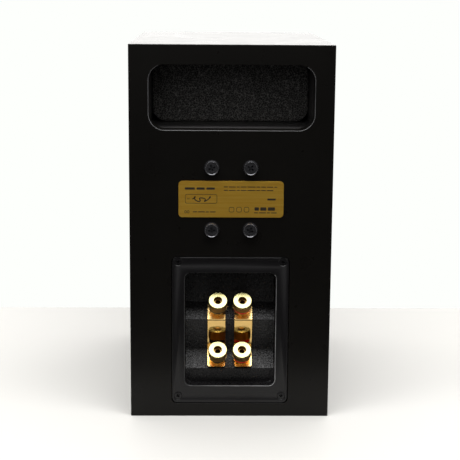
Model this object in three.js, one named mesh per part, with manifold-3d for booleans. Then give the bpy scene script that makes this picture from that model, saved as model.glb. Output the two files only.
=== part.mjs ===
// Two-way transmission-line bookshelf speaker, in millimetres.
// +Z is up, -Y is the front (drivers), +Y is the rear (vent, label, terminals), and the origin
// is the middle of the cabinet's underside. Every mesh is one physical piece.
import * as THREE from "three";
import { mergeVertices } from "three/addons/utils/BufferGeometryUtils.js";
import Module from "manifold-3d";

const wasm = await Module();
wasm.setup();

// ---------------------------------------------------------------- driving dimensions
const WIDTH = 155;
const HEIGHT = 290;
const DEPTH = 234;
const WALL = 15; // sides, top, bottom and rear panel
const BAFFLE = 20; // front baffle
const FIT = 0.3; // clearance between pieces that a real assembly glues or presses together

const FRONT_Y = -DEPTH / 2;
const REAR_Y = DEPTH / 2;
const INNER_X = WIDTH / 2 - WALL;
const INNER_TOP = HEIGHT - WALL;
const BAFFLE_BACK_Y = FRONT_Y + BAFFLE;
const REAR_INNER_Y = REAR_Y - WALL;

// rear panel
const VENT = { bottom: 226, height: 49, corner: 12, foamDepth: 57, foamLength: 60 };
const LABEL = { width: 80, height: 28, thick: 0.5, corner: 3, z: 173.5 };
const BRACKET = { dx: 14.75, dz: 24, shaft: 3, head: 5.9, headHeight: 3, length: 12 };

// terminal panel: a flange let into the rear panel, with a stepped cup behind its opening
const PANEL = { width: 90, bottom: 11, height: 117, thick: 3, corner: 4 };
const OPENING = { width: 70.5, bottom: 25, height: 90.8, corner: 5 };
const CUP_WALL = 3;
const GASKET = 0.8;
const REBATE_GAP = 0.6;
const PANEL_SCREW = { dx: 40.4, dz: 53.9, head: 3.1, shaft: 1.4, length: 12 };
const LEDGE_DEPTH = 10; // of a ledge's outer edge, behind the rear face
const LEDGE_LENGTH = 17; // of the sloping face that a post stands on
const LOWER_LEDGE_Z = 36.1;
const LEDGE_PITCH = 39.7;
const FLOOR_DEPTH = 10; // where the cup's floor meets the wall below the lower ledge
const TILT = Math.PI / 4; // the posts point up and out at this angle

// binding posts: distances run along the post's axis from the ledge's surface
const POST = { x: 9.5, fromEdge: 7.25, stem: 3.5, tip: 14.5, flange: 6.2, nut: 4.9, tail: -12, socket: 2 };
const FLANGE = { from: FIT, to: 1.3 };
const STRAP = { from: 1.6, thick: 1.2, innerX: 3.45, width: 14.1, upperEnd: 13.5 };
const COLLAR = { from: 3.1, to: 6.9, radius: 4.9, shoulder: 4.6 };
const RING = { to: 9.6, radius: 6.9 };
const NUT = { from: 9.9, to: 17.5, radius: 7.4, bore: 3.8, boreTo: 15, mouth: 3.1, flare: 3.4 };
const SLEEVE = { from: 4.9, radius: 4.2 }; // the nut's threaded sleeve, inside the collar

// drivers
const WOOFER = { z: 96, flange: 73, hole: 64, thick: 5, screwCircle: 68.8 };
const TWEETER = { z: 226, plate: 52, hole: 37.5, thick: 4, screwCircle: 44 };

// transmission line inside
const SHELF = { thick: 9, frontY: -40 };
const DIVIDER = { frontY: -5, thick: 9, bottomGap: 45 };

// ---------------------------------------------------------------- materials
const finish = (color, roughness, metalness = 0) =>
  new THREE.MeshStandardMaterial({ color, roughness, metalness });
const LACQUER = finish(0x0b0a09, 0.45);
const FIBREBOARD = finish(0x8a6a48, 0.9);
const BLACK_PLASTIC = finish(0x141315, 0.55);
const BLACK_STEEL = finish(0x1b1b20, 0.35, 0.9);
const GOLD = finish(0xd9a648, 0.18, 1);
const BRASS = finish(0x9c7626, 0.4, 1);
const RED = finish(0xa3130f, 0.4);
const BLACK_RING = finish(0x0e0e0e, 0.4);
const FOAM = finish(0x1a1a19, 1);
const RUBBER = finish(0x121212, 0.6);
const CAST_ALLOY = finish(0x222326, 0.4, 0.6);
const CONE_PAPER = finish(0x2b2b2d, 0.7);
const CLOTH = finish(0x1c1c20, 0.8);
const SPIDER_CLOTH = finish(0xb99a5a, 0.9);
const FERRITE = finish(0x2e2e30, 0.8);
const STEEL = finish(0x9a9ca0, 0.35, 0.9);
const COPPER = finish(0xb5622c, 0.3, 0.9);
const CIRCUIT_BOARD = finish(0x1d4a2c, 0.6);
const CAPACITOR_SLEEVE = finish(0xc9b060, 0.5);
const WIRE = finish(0x241f1f, 0.6);

// ---------------------------------------------------------------- shape helpers
const speaker = new THREE.Group();

function add(name, geometry, material, parent = speaker) {
  const mesh = new THREE.Mesh(geometry, material);
  mesh.name = name;
  parent.add(mesh);
  return mesh;
}

// A box given by its lowest and highest corners.
function block(x0, x1, y0, y1, z0, z1) {
  const geometry = new THREE.BoxGeometry(x1 - x0, y1 - y0, z1 - z0);
  return geometry.translate((x0 + x1) / 2, (y0 + y1) / 2, (z0 + z1) / 2);
}

function signedArea(points) {
  return points.reduce((sum, [x, y], i) => {
    const [nextX, nextY] = points[(i + 1) % points.length];
    return sum + (x * nextY - nextX * y) / 2;
  }, 0);
}

// A closed [radius, y] outline turned about the Y axis. A point at radius 0 lies on the axis.
function turned(outline, segments) {
  const ordered = signedArea(outline) > 0 ? outline : [...outline].reverse();
  const axis = ordered.findIndex(
    ([r], i) => r === 0 && ordered[(i + ordered.length - 1) % ordered.length][0] === 0,
  );
  const points = (axis < 0 ? ordered : [...ordered.slice(axis), ...ordered.slice(0, axis)]).map(
    ([r, y]) => new THREE.Vector2(r, y),
  );
  if (axis < 0) points.push(points[0].clone());
  return new THREE.LatheGeometry(points, segments);
}

// A cylinder about the Y axis.
function rod(radius, y0, y1, segments = 16) {
  return new THREE.CylinderGeometry(radius, radius, y1 - y0, segments).translate(0, (y0 + y1) / 2, 0);
}

// A [y, z] outline extruded along X.
function extrudedAlongX(outline, x0, x1) {
  const shape = new THREE.Shape(outline.map(([y, z]) => new THREE.Vector2(y, z)));
  const geometry = new THREE.ExtrudeGeometry(shape, { depth: x1 - x0, bevelEnabled: false });
  return geometry.applyMatrix4(new THREE.Matrix4().set(0, 0, 1, x0, 1, 0, 0, 0, 0, 1, 0, 0, 0, 0, 0, 1));
}

// A rectangle with round corners, in the XZ plane about x = 0, extruded from y0 to y1.
function roundedPlate(width, bottom, height, corner, y0, y1, curveSegments = 5) {
  const [x, top] = [width / 2, bottom + height];
  const shape = new THREE.Shape();
  shape.moveTo(-x + corner, bottom);
  shape.lineTo(x - corner, bottom);
  shape.absarc(x - corner, bottom + corner, corner, -Math.PI / 2, 0);
  shape.lineTo(x, top - corner);
  shape.absarc(x - corner, top - corner, corner, 0, Math.PI / 2);
  shape.lineTo(-x + corner, top);
  shape.absarc(-x + corner, top - corner, corner, Math.PI / 2, Math.PI);
  shape.lineTo(-x, bottom + corner);
  shape.absarc(-x + corner, bottom + corner, corner, Math.PI, 1.5 * Math.PI);
  const options = { depth: y1 - y0, bevelEnabled: false, curveSegments };
  const geometry = new THREE.ExtrudeGeometry(shape, options);
  return geometry.applyMatrix4(new THREE.Matrix4().set(1, 0, 0, 0, 0, 0, -1, y1, 0, 1, 0, 0, 0, 0, 0, 1));
}

// A round tube along a smooth curve through points, for a lead.
function lead(points, radius, steps) {
  const sides = 6;
  const section = new THREE.Shape(
    Array.from({ length: sides }, (_, i) => {
      const angle = (2 * Math.PI * i) / sides;
      return new THREE.Vector2(radius * Math.cos(angle), radius * Math.sin(angle));
    }),
  );
  const extrudePath = new THREE.CatmullRomCurve3(points.map((p) => new THREE.Vector3(...p)));
  return new THREE.ExtrudeGeometry(section, { steps, bevelEnabled: false, extrudePath });
}

// Moves an outline's line sideways by distance, to its left going along it.
function offsetLine(points, distance) {
  const moved = points.slice(1).map(([y, z], i) => {
    const [py, pz] = points[i];
    const length = Math.hypot(y - py, z - pz);
    const [ny, nz] = [(-(z - pz) / length) * distance, ((y - py) / length) * distance];
    return [[py + ny, pz + nz], [y + ny, z + nz]];
  });
  const corners = moved.slice(1).map(([c, d], i) => {
    const [a, b] = moved[i];
    const cross = (b[0] - a[0]) * (d[1] - c[1]) - (b[1] - a[1]) * (d[0] - c[0]);
    const along = ((c[0] - a[0]) * (d[1] - c[1]) - (c[1] - a[1]) * (d[0] - c[0])) / cross;
    return [a[0] + (b[0] - a[0]) * along, a[1] + (b[1] - a[1]) * along];
  });
  return [moved[0][0], ...corners, moved[moved.length - 1][1]];
}

// ---------------------------------------------------------------- booleans
function solidOf(geometry) {
  const bare = geometry.clone();
  bare.deleteAttribute("normal");
  bare.deleteAttribute("uv");
  const merged = mergeVertices(bare, 1e-4);
  const triVerts = new Uint32Array(merged.index.array);
  const vertProperties = merged.attributes.position.array;
  return new wasm.Manifold(new wasm.Mesh({ numProp: 3, vertProperties, triVerts }));
}

function geometryOf(solid) {
  const { vertProperties, triVerts } = solid.getMesh();
  const geometry = new THREE.BufferGeometry();
  geometry.setAttribute("position", new THREE.BufferAttribute(new Float32Array(vertProperties), 3));
  return geometry.setIndex(new THREE.BufferAttribute(new Uint32Array(triVerts), 1));
}

function cut(base, ...tools) {
  return geometryOf(tools.reduce((solid, tool) => solid.subtract(solidOf(tool)), solidOf(base)));
}

function joined(first, ...others) {
  return geometryOf(others.reduce((solid, other) => solid.add(solidOf(other)), solidOf(first)));
}

function common(a, b) {
  return geometryOf(solidOf(a).intersect(solidOf(b)));
}

// ---------------------------------------------------------------- places
const SIDES = [["left", 1], ["right", -1]]; // as seen from the front, left is +X
const CORNERS = [[1, 1], [-1, 1], [1, -1], [-1, -1]]; // x side, z side
const bracketPlaces = CORNERS.map(([x, z]) => [x * BRACKET.dx, LABEL.z + z * BRACKET.dz]);
const panelMiddle = PANEL.bottom + PANEL.height / 2 + 1.15;
const panelScrewPlaces = CORNERS.map(([x, z]) => [
  x * PANEL_SCREW.dx,
  panelMiddle + z * PANEL_SCREW.dz,
]);
const wooferScrewAngles = [45, 135, 225, 315];
const tweeterScrewAngles = [90, 210, 330];
const onCircle = (radius, degrees) => [
  radius * Math.cos((degrees * Math.PI) / 180),
  radius * Math.sin((degrees * Math.PI) / 180),
];

// The cup's surface, as a [y, z] line from the flange's opening down the ledges to the floor.
const slope = Math.SQRT1_2 * LEDGE_LENGTH;
const ledgeEdge = (z) => [REAR_Y - LEDGE_DEPTH, z];
const ledgeRoot = (z) => [REAR_Y - LEDGE_DEPTH - slope, z + slope];
const UPPER_LEDGE_Z = LOWER_LEDGE_Z + LEDGE_PITCH;
const cupSurface = [
  [REAR_Y, OPENING.bottom + OPENING.height],
  [ledgeRoot(UPPER_LEDGE_Z)[0], OPENING.bottom + OPENING.height],
  ledgeRoot(UPPER_LEDGE_Z),
  ledgeEdge(UPPER_LEDGE_Z),
  ledgeRoot(LOWER_LEDGE_Z),
  ledgeEdge(LOWER_LEDGE_Z),
  [REAR_Y - FLOOR_DEPTH, OPENING.bottom],
  [REAR_Y, OPENING.bottom],
];

// ---------------------------------------------------------------- cabinet
function cabinet() {
  const [outX, inX, top] = [WIDTH / 2, INNER_X, HEIGHT];
  const depth = REAR_INNER_Y - BAFFLE_BACK_Y;
  // The four wrap panels meet in mitres along the cabinet's long edges.
  const wrapPanel = (corners) => {
    const shape = new THREE.Shape(corners.map(([x, z]) => new THREE.Vector2(x, z)));
    const geometry = new THREE.ExtrudeGeometry(shape, { depth, bevelEnabled: false });
    geometry.rotateX(Math.PI / 2);
    return geometry.translate(0, REAR_INNER_Y, 0);
  };
  const outerCorners = [[-outX, 0], [outX, 0], [outX, top], [-outX, top]];
  const innerCorners = [[-inX, WALL], [inX, WALL], [inX, INNER_TOP], [-inX, INNER_TOP]];
  ["bottom_panel", "left_side_panel", "top_panel", "right_side_panel"].forEach((name, i) => {
    const next = (i + 1) % 4;
    const corners = [outerCorners[i], outerCorners[next], innerCorners[next], innerCorners[i]];
    add(name, wrapPanel(corners), LACQUER);
  });

  const at = ([x, z], geometry) => geometry.translate(x, 0, z);
  const baffleHoles = [
    at([0, WOOFER.z], rod(WOOFER.hole, FRONT_Y - 1, BAFFLE_BACK_Y + 1, 40)),
    at([0, WOOFER.z], rod(WOOFER.flange + FIT, FRONT_Y - 1, FRONT_Y + WOOFER.thick, 40)),
    at([0, TWEETER.z], rod(TWEETER.hole, FRONT_Y - 1, BAFFLE_BACK_Y + 1, 32)),
    at([0, TWEETER.z], rod(TWEETER.plate + FIT, FRONT_Y - 1, FRONT_Y + TWEETER.thick, 40)),
    ...wooferScrewAngles.map((angle) => {
      const [x, z] = onCircle(WOOFER.screwCircle, angle);
      return at([x, WOOFER.z + z], rod(2.2, FRONT_Y, FRONT_Y + 18, 8));
    }),
    ...tweeterScrewAngles.map((angle) => {
      const [x, z] = onCircle(TWEETER.screwCircle, angle);
      return at([x, TWEETER.z + z], rod(2, FRONT_Y, FRONT_Y + 17, 8));
    }),
  ];
  const baffle = block(-outX, outX, FRONT_Y, BAFFLE_BACK_Y, 0, HEIGHT);
  add("front_baffle", cut(baffle, ...baffleHoles), LACQUER);

  const beyond = REAR_Y + 1;
  const seatY = REAR_Y - PANEL.thick - GASKET;
  const rearHoles = [
    roundedPlate(2 * INNER_X, VENT.bottom, VENT.height, VENT.corner, REAR_INNER_Y - 1, beyond),
    roundedPlate(
      PANEL.width + 2 * REBATE_GAP, PANEL.bottom - REBATE_GAP,
      PANEL.height + 2 * REBATE_GAP, PANEL.corner + REBATE_GAP, seatY, beyond,
    ),
    block(
      -OPENING.width / 2 - CUP_WALL - FIT, OPENING.width / 2 + CUP_WALL + FIT,
      REAR_INNER_Y - 1, beyond,
      OPENING.bottom - CUP_WALL - FIT, OPENING.bottom + OPENING.height + CUP_WALL + FIT,
    ),
    ...bracketPlaces.map((place) => at(place, rod(BRACKET.shaft + 0.2, REAR_Y - 13, beyond, 12))),
    ...panelScrewPlaces.map((place) => at(place, rod(1.6, REAR_Y - 13, beyond, 8))),
  ];
  const rear = block(-outX, outX, REAR_INNER_Y, REAR_Y, 0, HEIGHT);
  add("rear_panel", cut(rear, ...rearHoles), LACQUER);
}

// ---------------------------------------------------------------- folded line and its damping
function transmissionLine() {
  const shelfTop = VENT.bottom;
  const shelfBottom = shelfTop - SHELF.thick;
  const dividerBack = DIVIDER.frontY + DIVIDER.thick;
  const dividerBottom = WALL + DIVIDER.bottomGap;
  const sheet = 15; // thickness of the damping behind the woofer
  add("vent_shelf", block(-INNER_X, INNER_X, SHELF.frontY, REAR_INNER_Y, shelfBottom, shelfTop), FIBREBOARD);
  add(
    "line_divider",
    block(-INNER_X, INNER_X, DIVIDER.frontY, dividerBack, dividerBottom, shelfBottom),
    FIBREBOARD,
  );
  add(
    "line_damping_foam",
    block(-INNER_X + 2, INNER_X - 2, DIVIDER.frontY - sheet, DIVIDER.frontY, dividerBottom + 3, shelfBottom - 3),
    FOAM,
  );
  const foamFace = REAR_Y - VENT.foamDepth;
  add(
    "vent_foam",
    roundedPlate(
      2 * (INNER_X - FIT), VENT.bottom + FIT, VENT.height - 2 * FIT, VENT.corner,
      foamFace - VENT.foamLength, foamFace,
    ),
    FOAM,
  );
}

// ---------------------------------------------------------------- label and bracket screws
function rearFittings() {
  const plate = roundedPlate(
    LABEL.width, LABEL.z - LABEL.height / 2, LABEL.height, LABEL.corner, REAR_Y, REAR_Y + LABEL.thick,
  );
  add("rating_label_plate", plate, BRASS);
  const { shaft, head, headHeight, length } = BRACKET;
  const outline = [
    [0, REAR_Y - length], [shaft, REAR_Y - length], [shaft, REAR_Y], [head, REAR_Y],
    [head, REAR_Y + 1.2], [head * 0.78, REAR_Y + headHeight * 0.85], [2.6, REAR_Y + headHeight],
    [2.2, REAR_Y + 0.8], [0, REAR_Y + 0.8],
  ];
  bracketPlaces.forEach(([x, z], i) => {
    add(`bracket_screw_${i + 1}`, turned(outline, 10), BLACK_STEEL).position.set(x, 0, z);
  });
}

// ---------------------------------------------------------------- terminal panel
// A screw with a 90 degree countersunk head, its face at y = face, pointing along -Y.
function countersunk(head, shaft, length, face, socket) {
  return [
    [0, face - length], [shaft, face - length], [shaft, face - (head - shaft)],
    [head, face], [socket, face], [socket * 0.8, face - 1.2], [0, face - 1.2],
  ];
}

function terminalPanel() {
  const flangeBack = REAR_Y - PANEL.thick;
  const upperZ = OPENING.bottom + OPENING.height;
  const beyond = REAR_Y + 5;
  const flange = roundedPlate(PANEL.width, PANEL.bottom, PANEL.height, PANEL.corner, flangeBack, REAR_Y);

  // The void is the cup's surface closed outside the flange, cut to the opening's outline.
  const voidOutline = [[beyond, upperZ], ...cupSurface, [beyond, OPENING.bottom]];
  const outlet = roundedPlate(
    OPENING.width, OPENING.bottom, OPENING.height, OPENING.corner, REAR_Y - 40, beyond,
  );
  const hollow = common(extrudedAlongX(voidOutline, -OPENING.width / 2, OPENING.width / 2), outlet);

  // The cup's outside is the same surface, one wall thickness further in.
  const outside = offsetLine(cupSurface, -CUP_WALL);
  const outerX = OPENING.width / 2 + CUP_WALL;
  const cup = extrudedAlongX(outside, -outerX, outerX);
  const cupBehindFlange = common(
    cup,
    block(-outerX, outerX, REAR_Y - 40, REAR_Y - 1, 0, HEIGHT),
  );
  const screwHoles = panelScrewPlaces.map(([x, z]) => {
    const outline = [
      [0, flangeBack - 1], [PANEL_SCREW.shaft + 0.3, flangeBack - 1],
      [PANEL_SCREW.shaft + 0.3, REAR_Y - 2], [PANEL_SCREW.head + 0.3, REAR_Y], [PANEL_SCREW.head + 0.3, beyond],
      [0, beyond],
    ];
    return turned(outline, 12).translate(x, 0, z);
  });
  const postHoles = postPlaces.map(({ x, y, z }) => {
    return rod(POST.stem + 0.3, -8, 4, 14).rotateX(TILT).translate(x, y, z);
  });
  const panel = cut(joined(flange, cupBehindFlange), hollow, ...screwHoles, ...postHoles);
  add("terminal_panel", panel, BLACK_PLASTIC);

  const gasketOuter = roundedPlate(
    PANEL.width - 1, PANEL.bottom + 0.5, PANEL.height - 1, PANEL.corner, flangeBack - GASKET, flangeBack, 3,
  );
  const gasketHole = block(
    -outerX - 1, outerX + 1, flangeBack - 2, flangeBack + 1,
    OPENING.bottom - CUP_WALL - 1, upperZ + CUP_WALL + 1,
  );
  const gasketScrewHoles = panelScrewPlaces.map(([x, z]) => {
    return rod(1.8, flangeBack - 2, flangeBack + 1, 8).translate(x, 0, z);
  });
  add("terminal_gasket", cut(gasketOuter, gasketHole, ...gasketScrewHoles), RUBBER);

  const { head, shaft, length } = PANEL_SCREW;
  panelScrewPlaces.forEach(([x, z], i) => {
    const outline = countersunk(head, shaft, length, REAR_Y - 0.2, 1.4);
    add(`terminal_screw_${i + 1}`, turned(outline, 8), BLACK_STEEL).position.set(x, 0, z);
  });
}

// ---------------------------------------------------------------- binding posts and jumpers
const ledges = [["upper", UPPER_LEDGE_Z], ["lower", LOWER_LEDGE_Z]];
const postPlaces = ledges.flatMap(([level, z]) =>
  SIDES.map(([side, sign]) => ({
    name: `${level}_${side}`,
    x: sign * POST.x,
    y: REAR_Y - LEDGE_DEPTH - POST.fromEdge * Math.SQRT1_2,
    z: z + POST.fromEdge * Math.SQRT1_2,
    ring: side === "left" ? BLACK_RING : RED,
  })),
);

function bindingPosts() {
  const tailFrom = -CUP_WALL - FIT;
  const stemOutline = [
    [0, POST.tail], [POST.stem, POST.tail], [POST.stem, tailFrom - 2.5], [POST.nut, tailFrom - 2.5],
    [POST.nut, tailFrom], [POST.stem, tailFrom], [POST.stem, FLANGE.from], [POST.flange, FLANGE.from],
    [POST.flange, FLANGE.to], [POST.stem, FLANGE.to], [POST.stem, POST.tip], [POST.socket, POST.tip],
    [POST.socket, POST.tip - 12], [0, POST.tip - 12],
  ];
  const collarBore = POST.stem + 0.25;
  const sleeveBore = SLEEVE.radius + 0.25;
  const collarOutline = [
    [collarBore, COLLAR.from], [COLLAR.radius, COLLAR.from], [COLLAR.radius, COLLAR.to],
    [RING.radius, COLLAR.to], [RING.radius, RING.to], [sleeveBore, RING.to],
    [sleeveBore, COLLAR.shoulder], [collarBore, COLLAR.shoulder],
  ];
  const nutOutline = [
    [NUT.bore, SLEEVE.from], [SLEEVE.radius, SLEEVE.from], [SLEEVE.radius, NUT.from],
    [NUT.radius - 0.5, NUT.from], [NUT.radius, NUT.from + 0.5],
    [NUT.radius, NUT.to - 0.45], [NUT.radius - 0.45, NUT.to], [NUT.flare, NUT.to],
    [NUT.mouth, NUT.to - 0.8], [NUT.mouth, NUT.boreTo], [NUT.bore, NUT.boreTo],
  ];
  postPlaces.forEach(({ name, x, y, z, ring }) => {
    const post = new THREE.Group();
    post.position.set(x, y, z);
    post.rotation.x = TILT;
    speaker.add(post);
    add(`binding_post_${name}`, turned(stemOutline, 10), GOLD, post);
    add(`clamp_collar_${name}`, turned(collarOutline, 12), ring, post);
    add(`thumb_nut_${name}`, turned(nutOutline, 16), GOLD, post);
  });
}

// A Z-shaped link plate on the two ledges of one side, with a slot at each post open towards x = 0.
function jumpers() {
  const upperEdge = ledgeEdge(UPPER_LEDGE_Z);
  const along = Math.SQRT1_2 * STRAP.upperEnd;
  const surface = [
    [upperEdge[0] - along, upperEdge[1] + along],
    upperEdge,
    ledgeRoot(LOWER_LEDGE_Z),
    ledgeEdge(LOWER_LEDGE_Z),
  ];
  const near = offsetLine(surface, STRAP.from);
  const far = offsetLine(surface, STRAP.from + STRAP.thick);
  const band = [...near, ...far.reverse()];
  const slotHalf = POST.stem + FIT;
  SIDES.forEach(([side, sign]) => {
    const [x0, x1] = [STRAP.innerX, STRAP.innerX + STRAP.width];
    const plate = extrudedAlongX(band, x0, x1);
    const slots = ledges.map(([, z]) => {
      const slot = joined(
        rod(slotHalf, STRAP.from - 1, STRAP.from + STRAP.thick + 1, 14),
        block(-POST.x, 0, STRAP.from - 1, STRAP.from + STRAP.thick + 1, -slotHalf, slotHalf),
      );
      const reach = POST.fromEdge * Math.SQRT1_2;
      return slot.rotateX(TILT).translate(POST.x, REAR_Y - LEDGE_DEPTH - reach, z + reach);
    });
    const strap = cut(plate, ...slots);
    if (sign < 0) {
      strap.scale(-1, 1, 1);
      strap.index.array.reverse(); // a mirrored mesh needs its triangles turned back
    }
    add(`jumper_${side}`, strap, GOLD);
  });
}

// ---------------------------------------------------------------- woofer
function woofer() {
  const driver = new THREE.Group();
  driver.position.z = WOOFER.z;
  speaker.add(driver);
  const segments = 28;
  const flangeBack = FRONT_Y + WOOFER.thick;

  const seat = FRONT_Y + 3.4; // the surround's outer lip is glued here
  const plateBack = -66; // the magnet system bolts on behind this
  const chassisOutline = [
    [58, seat], [64.5, seat], [64.5, FRONT_Y], [WOOFER.flange, FRONT_Y], [WOOFER.flange, flangeBack],
    [63.5, flangeBack], [49.5, -80], [45, plateBack], [20, plateBack], [20, plateBack - 3],
    [42, plateBack - 3], [42, -82], [47, -82], [58, flangeBack],
  ];
  const windows = Array.from({ length: 6 }, (_, i) => {
    return block(-15, 15, -108, -86, 40, 70).rotateY((i * Math.PI) / 3);
  });
  const screwPlaces = wooferScrewAngles.map((angle) => onCircle(WOOFER.screwCircle, angle));
  const counterbores = screwPlaces.flatMap(([x, z]) => [
    rod(2.4, FRONT_Y - 1, flangeBack + 1, 10).translate(x, 0, z),
    rod(3.7, FRONT_Y - 1, FRONT_Y + 3, 10).translate(x, 0, z),
  ]);
  const chassis = cut(turned(chassisOutline, segments), ...windows, ...counterbores);
  add("woofer_chassis", chassis, CAST_ALLOY, driver);
  const head = [FRONT_Y + 0.5, FRONT_Y + 2.8]; // face and underside
  const screwOutline = [
    [0, FRONT_Y + 17], [2, FRONT_Y + 17], [2, head[1]], [3.4, head[1]], [3.4, head[0] + 0.4],
    [3, head[0]], [1.7, head[0]], [1.7, head[0] + 1.5], [0, head[0] + 1.5],
  ];
  screwPlaces.forEach(([x, z], i) => {
    add(`woofer_screw_${i + 1}`, turned(screwOutline, 8), BLACK_STEEL, driver).position.set(x, 0, z);
  });

  // Magnet system: a steel top plate, a ferrite ring, and a yoke whose pole fills the coil.
  const magnetFront = plateBack + 6;
  const magnetBack = magnetFront + 16;
  const ring = (inner, outer, y0, y1) => [[inner, y0], [outer, y0], [outer, y1], [inner, y1]];
  add("woofer_top_plate", turned(ring(14, 38, plateBack, magnetFront), segments), STEEL, driver);
  add("woofer_magnet", turned(ring(20, 42, magnetFront, magnetBack), segments), FERRITE, driver);
  const yokeOutline = [
    [4, -62], [11.9, -62], [11.9, magnetBack], [38, magnetBack], [38, magnetBack + 6], [4, magnetBack + 6],
  ];
  add("woofer_yoke", turned(yokeOutline, segments), STEEL, driver);

  // Moving parts. The cone falls back from its flat rim to the neck on a gentle curve.
  const [neckR, neckY, rimR, rimY, skin] = [13.6, -91, 49, seat + FIT, 0.9];
  const coneFront = Array.from({ length: 5 }, (_, i) => {
    const t = i / 4;
    return [neckR + (rimR - neckR) * t, neckY + (rimY - neckY) * (1.25 * t - 0.25 * t * t)];
  });
  const coneOutline = [
    ...coneFront, [52, rimY], [52, rimY + skin],
    ...coneFront.map(([r, y]) => [r, y + skin]).reverse(),
  ];
  add("woofer_cone", turned(coneOutline, segments), CONE_PAPER, driver);
  const cap = { radius: 18, baseY: -95.1, height: 6.5, skin: 0.8 };
  const capArc = (inset) => Array.from({ length: 4 }, (_, i) => {
    const t = i / 3;
    return [(cap.radius - inset) * t, cap.baseY - (cap.height - inset) * (1 - t * t)];
  });
  const capOutline = [...capArc(0), ...capArc(cap.skin).reverse()];
  add("woofer_dust_cap", turned(capOutline, 20), CONE_PAPER, driver);
  const coilOutline = [
    [12.6, -93], [13.1, -93], [13.1, -66.5], [13.5, -66.5], [13.5, -57], [12.6, -57],
  ];
  add("woofer_voice_coil", turned(coilOutline, 20), COPPER, driver);

  // The surround is a half roll with a lip each side.
  const [rollIn, rollOut, lip] = [51.2, 60.2, 0.8];
  const [rollMiddle, rollR] = [(rollIn + rollOut) / 2, (rollOut - rollIn) / 2];
  const roll = (radius) => Array.from({ length: 6 }, (_, i) => {
    const angle = Math.PI * (1 - i / 5);
    return [rollMiddle + radius * Math.cos(angle), seat - lip - radius * Math.sin(angle)];
  });
  const surroundOutline = [
    [48.5, seat - lip], ...roll(rollR), [64.2, seat - lip], [64.2, seat],
    ...roll(rollR - lip).reverse().map(([r, y]) => [r, y + lip]), [48.5, seat],
  ];
  add("woofer_surround", turned(surroundOutline, segments), RUBBER, driver);

  // The spider is a corrugated cloth disc between the coil former and the chassis step.
  const folds = 6;
  const wave = (side) => Array.from({ length: folds + 1 }, (_, i) => {
    const r = 14.5 + (41 - 14.5) * (i / folds);
    return [r, -83.4 + (i % 2 ? 0.9 : -0.9) + side * 0.3];
  });
  const spiderOutline = [
    [13.35, -83.7], ...wave(-1), [46, -82.8], [46, -82.2], ...wave(1).reverse(), [13.35, -83.1],
  ];
  add("woofer_spider", turned(spiderOutline, segments), SPIDER_CLOTH, driver);
}

// ---------------------------------------------------------------- tweeter
function tweeter() {
  const driver = new THREE.Group();
  driver.position.z = TWEETER.z;
  speaker.add(driver);
  const back = FRONT_Y + TWEETER.thick;
  const faceOutline = [
    [17.2, back], [17.2, FRONT_Y + 2.6], [20, FRONT_Y + 1.8], [27, FRONT_Y + 0.5], [33, FRONT_Y],
    [TWEETER.plate, FRONT_Y], [TWEETER.plate, back],
  ];
  const screwPlaces = tweeterScrewAngles.map((angle) => onCircle(TWEETER.screwCircle, angle));
  const holes = screwPlaces.flatMap(([x, z]) => [
    rod(2.2, FRONT_Y - 1, back + 1, 10).translate(x, 0, z),
    rod(3.6, FRONT_Y - 1, FRONT_Y + 2.5, 10).translate(x, 0, z),
  ]);
  add("tweeter_faceplate", cut(turned(faceOutline, 28), ...holes), BLACK_PLASTIC, driver);
  const screwOutline = [
    [0, FRONT_Y + 16], [1.8, FRONT_Y + 16], [1.8, FRONT_Y + 2.3], [3.3, FRONT_Y + 2.3],
    [3.3, FRONT_Y + 0.7], [2.9, FRONT_Y + 0.3], [1.6, FRONT_Y + 0.3], [1.6, FRONT_Y + 1.6], [0, FRONT_Y + 1.6],
  ];
  screwPlaces.forEach(([x, z], i) => {
    add(`tweeter_screw_${i + 1}`, turned(screwOutline, 8), BLACK_STEEL, driver).position.set(x, 0, z);
  });

  const motorFront = back + FIT;
  const motorOutline = [
    [0, -80], [30, -80], [30, -86], [36, -86], [36, motorFront], [14.5, motorFront], [14.5, -106],
    [12.6, -106], [12.6, motorFront], [0, motorFront],
  ];
  add("tweeter_motor", turned(motorOutline, 20), STEEL, driver);

  // The dome, its roll and its coil former are one light piece that moves as one.
  const [domeR, skin, baseY, height] = [13.6, 0.4, back - 0.9, 4.1];
  const dome = (inset) => Array.from({ length: 5 }, (_, i) => {
    const angle = ((Math.PI / 2) * i) / 4;
    return [(domeR - inset) * Math.sin(angle), baseY - (height - inset) * Math.cos(angle)];
  });
  const rollR = 1.45;
  const roll = (radius) => Array.from({ length: 4 }, (_, i) => {
    const angle = Math.PI * (1 - i / 3);
    return [domeR + rollR + radius * Math.cos(angle), baseY + 0.2 - radius * Math.sin(angle)];
  });
  const domeOutline = [
    ...dome(0), ...roll(rollR).slice(1), ...roll(rollR - skin).reverse(),
    [domeR + skin, -109], [domeR - skin, -109], ...dome(skin).reverse(),
  ];
  add("tweeter_dome", turned(domeOutline, 20), CLOTH, driver);
}

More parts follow.
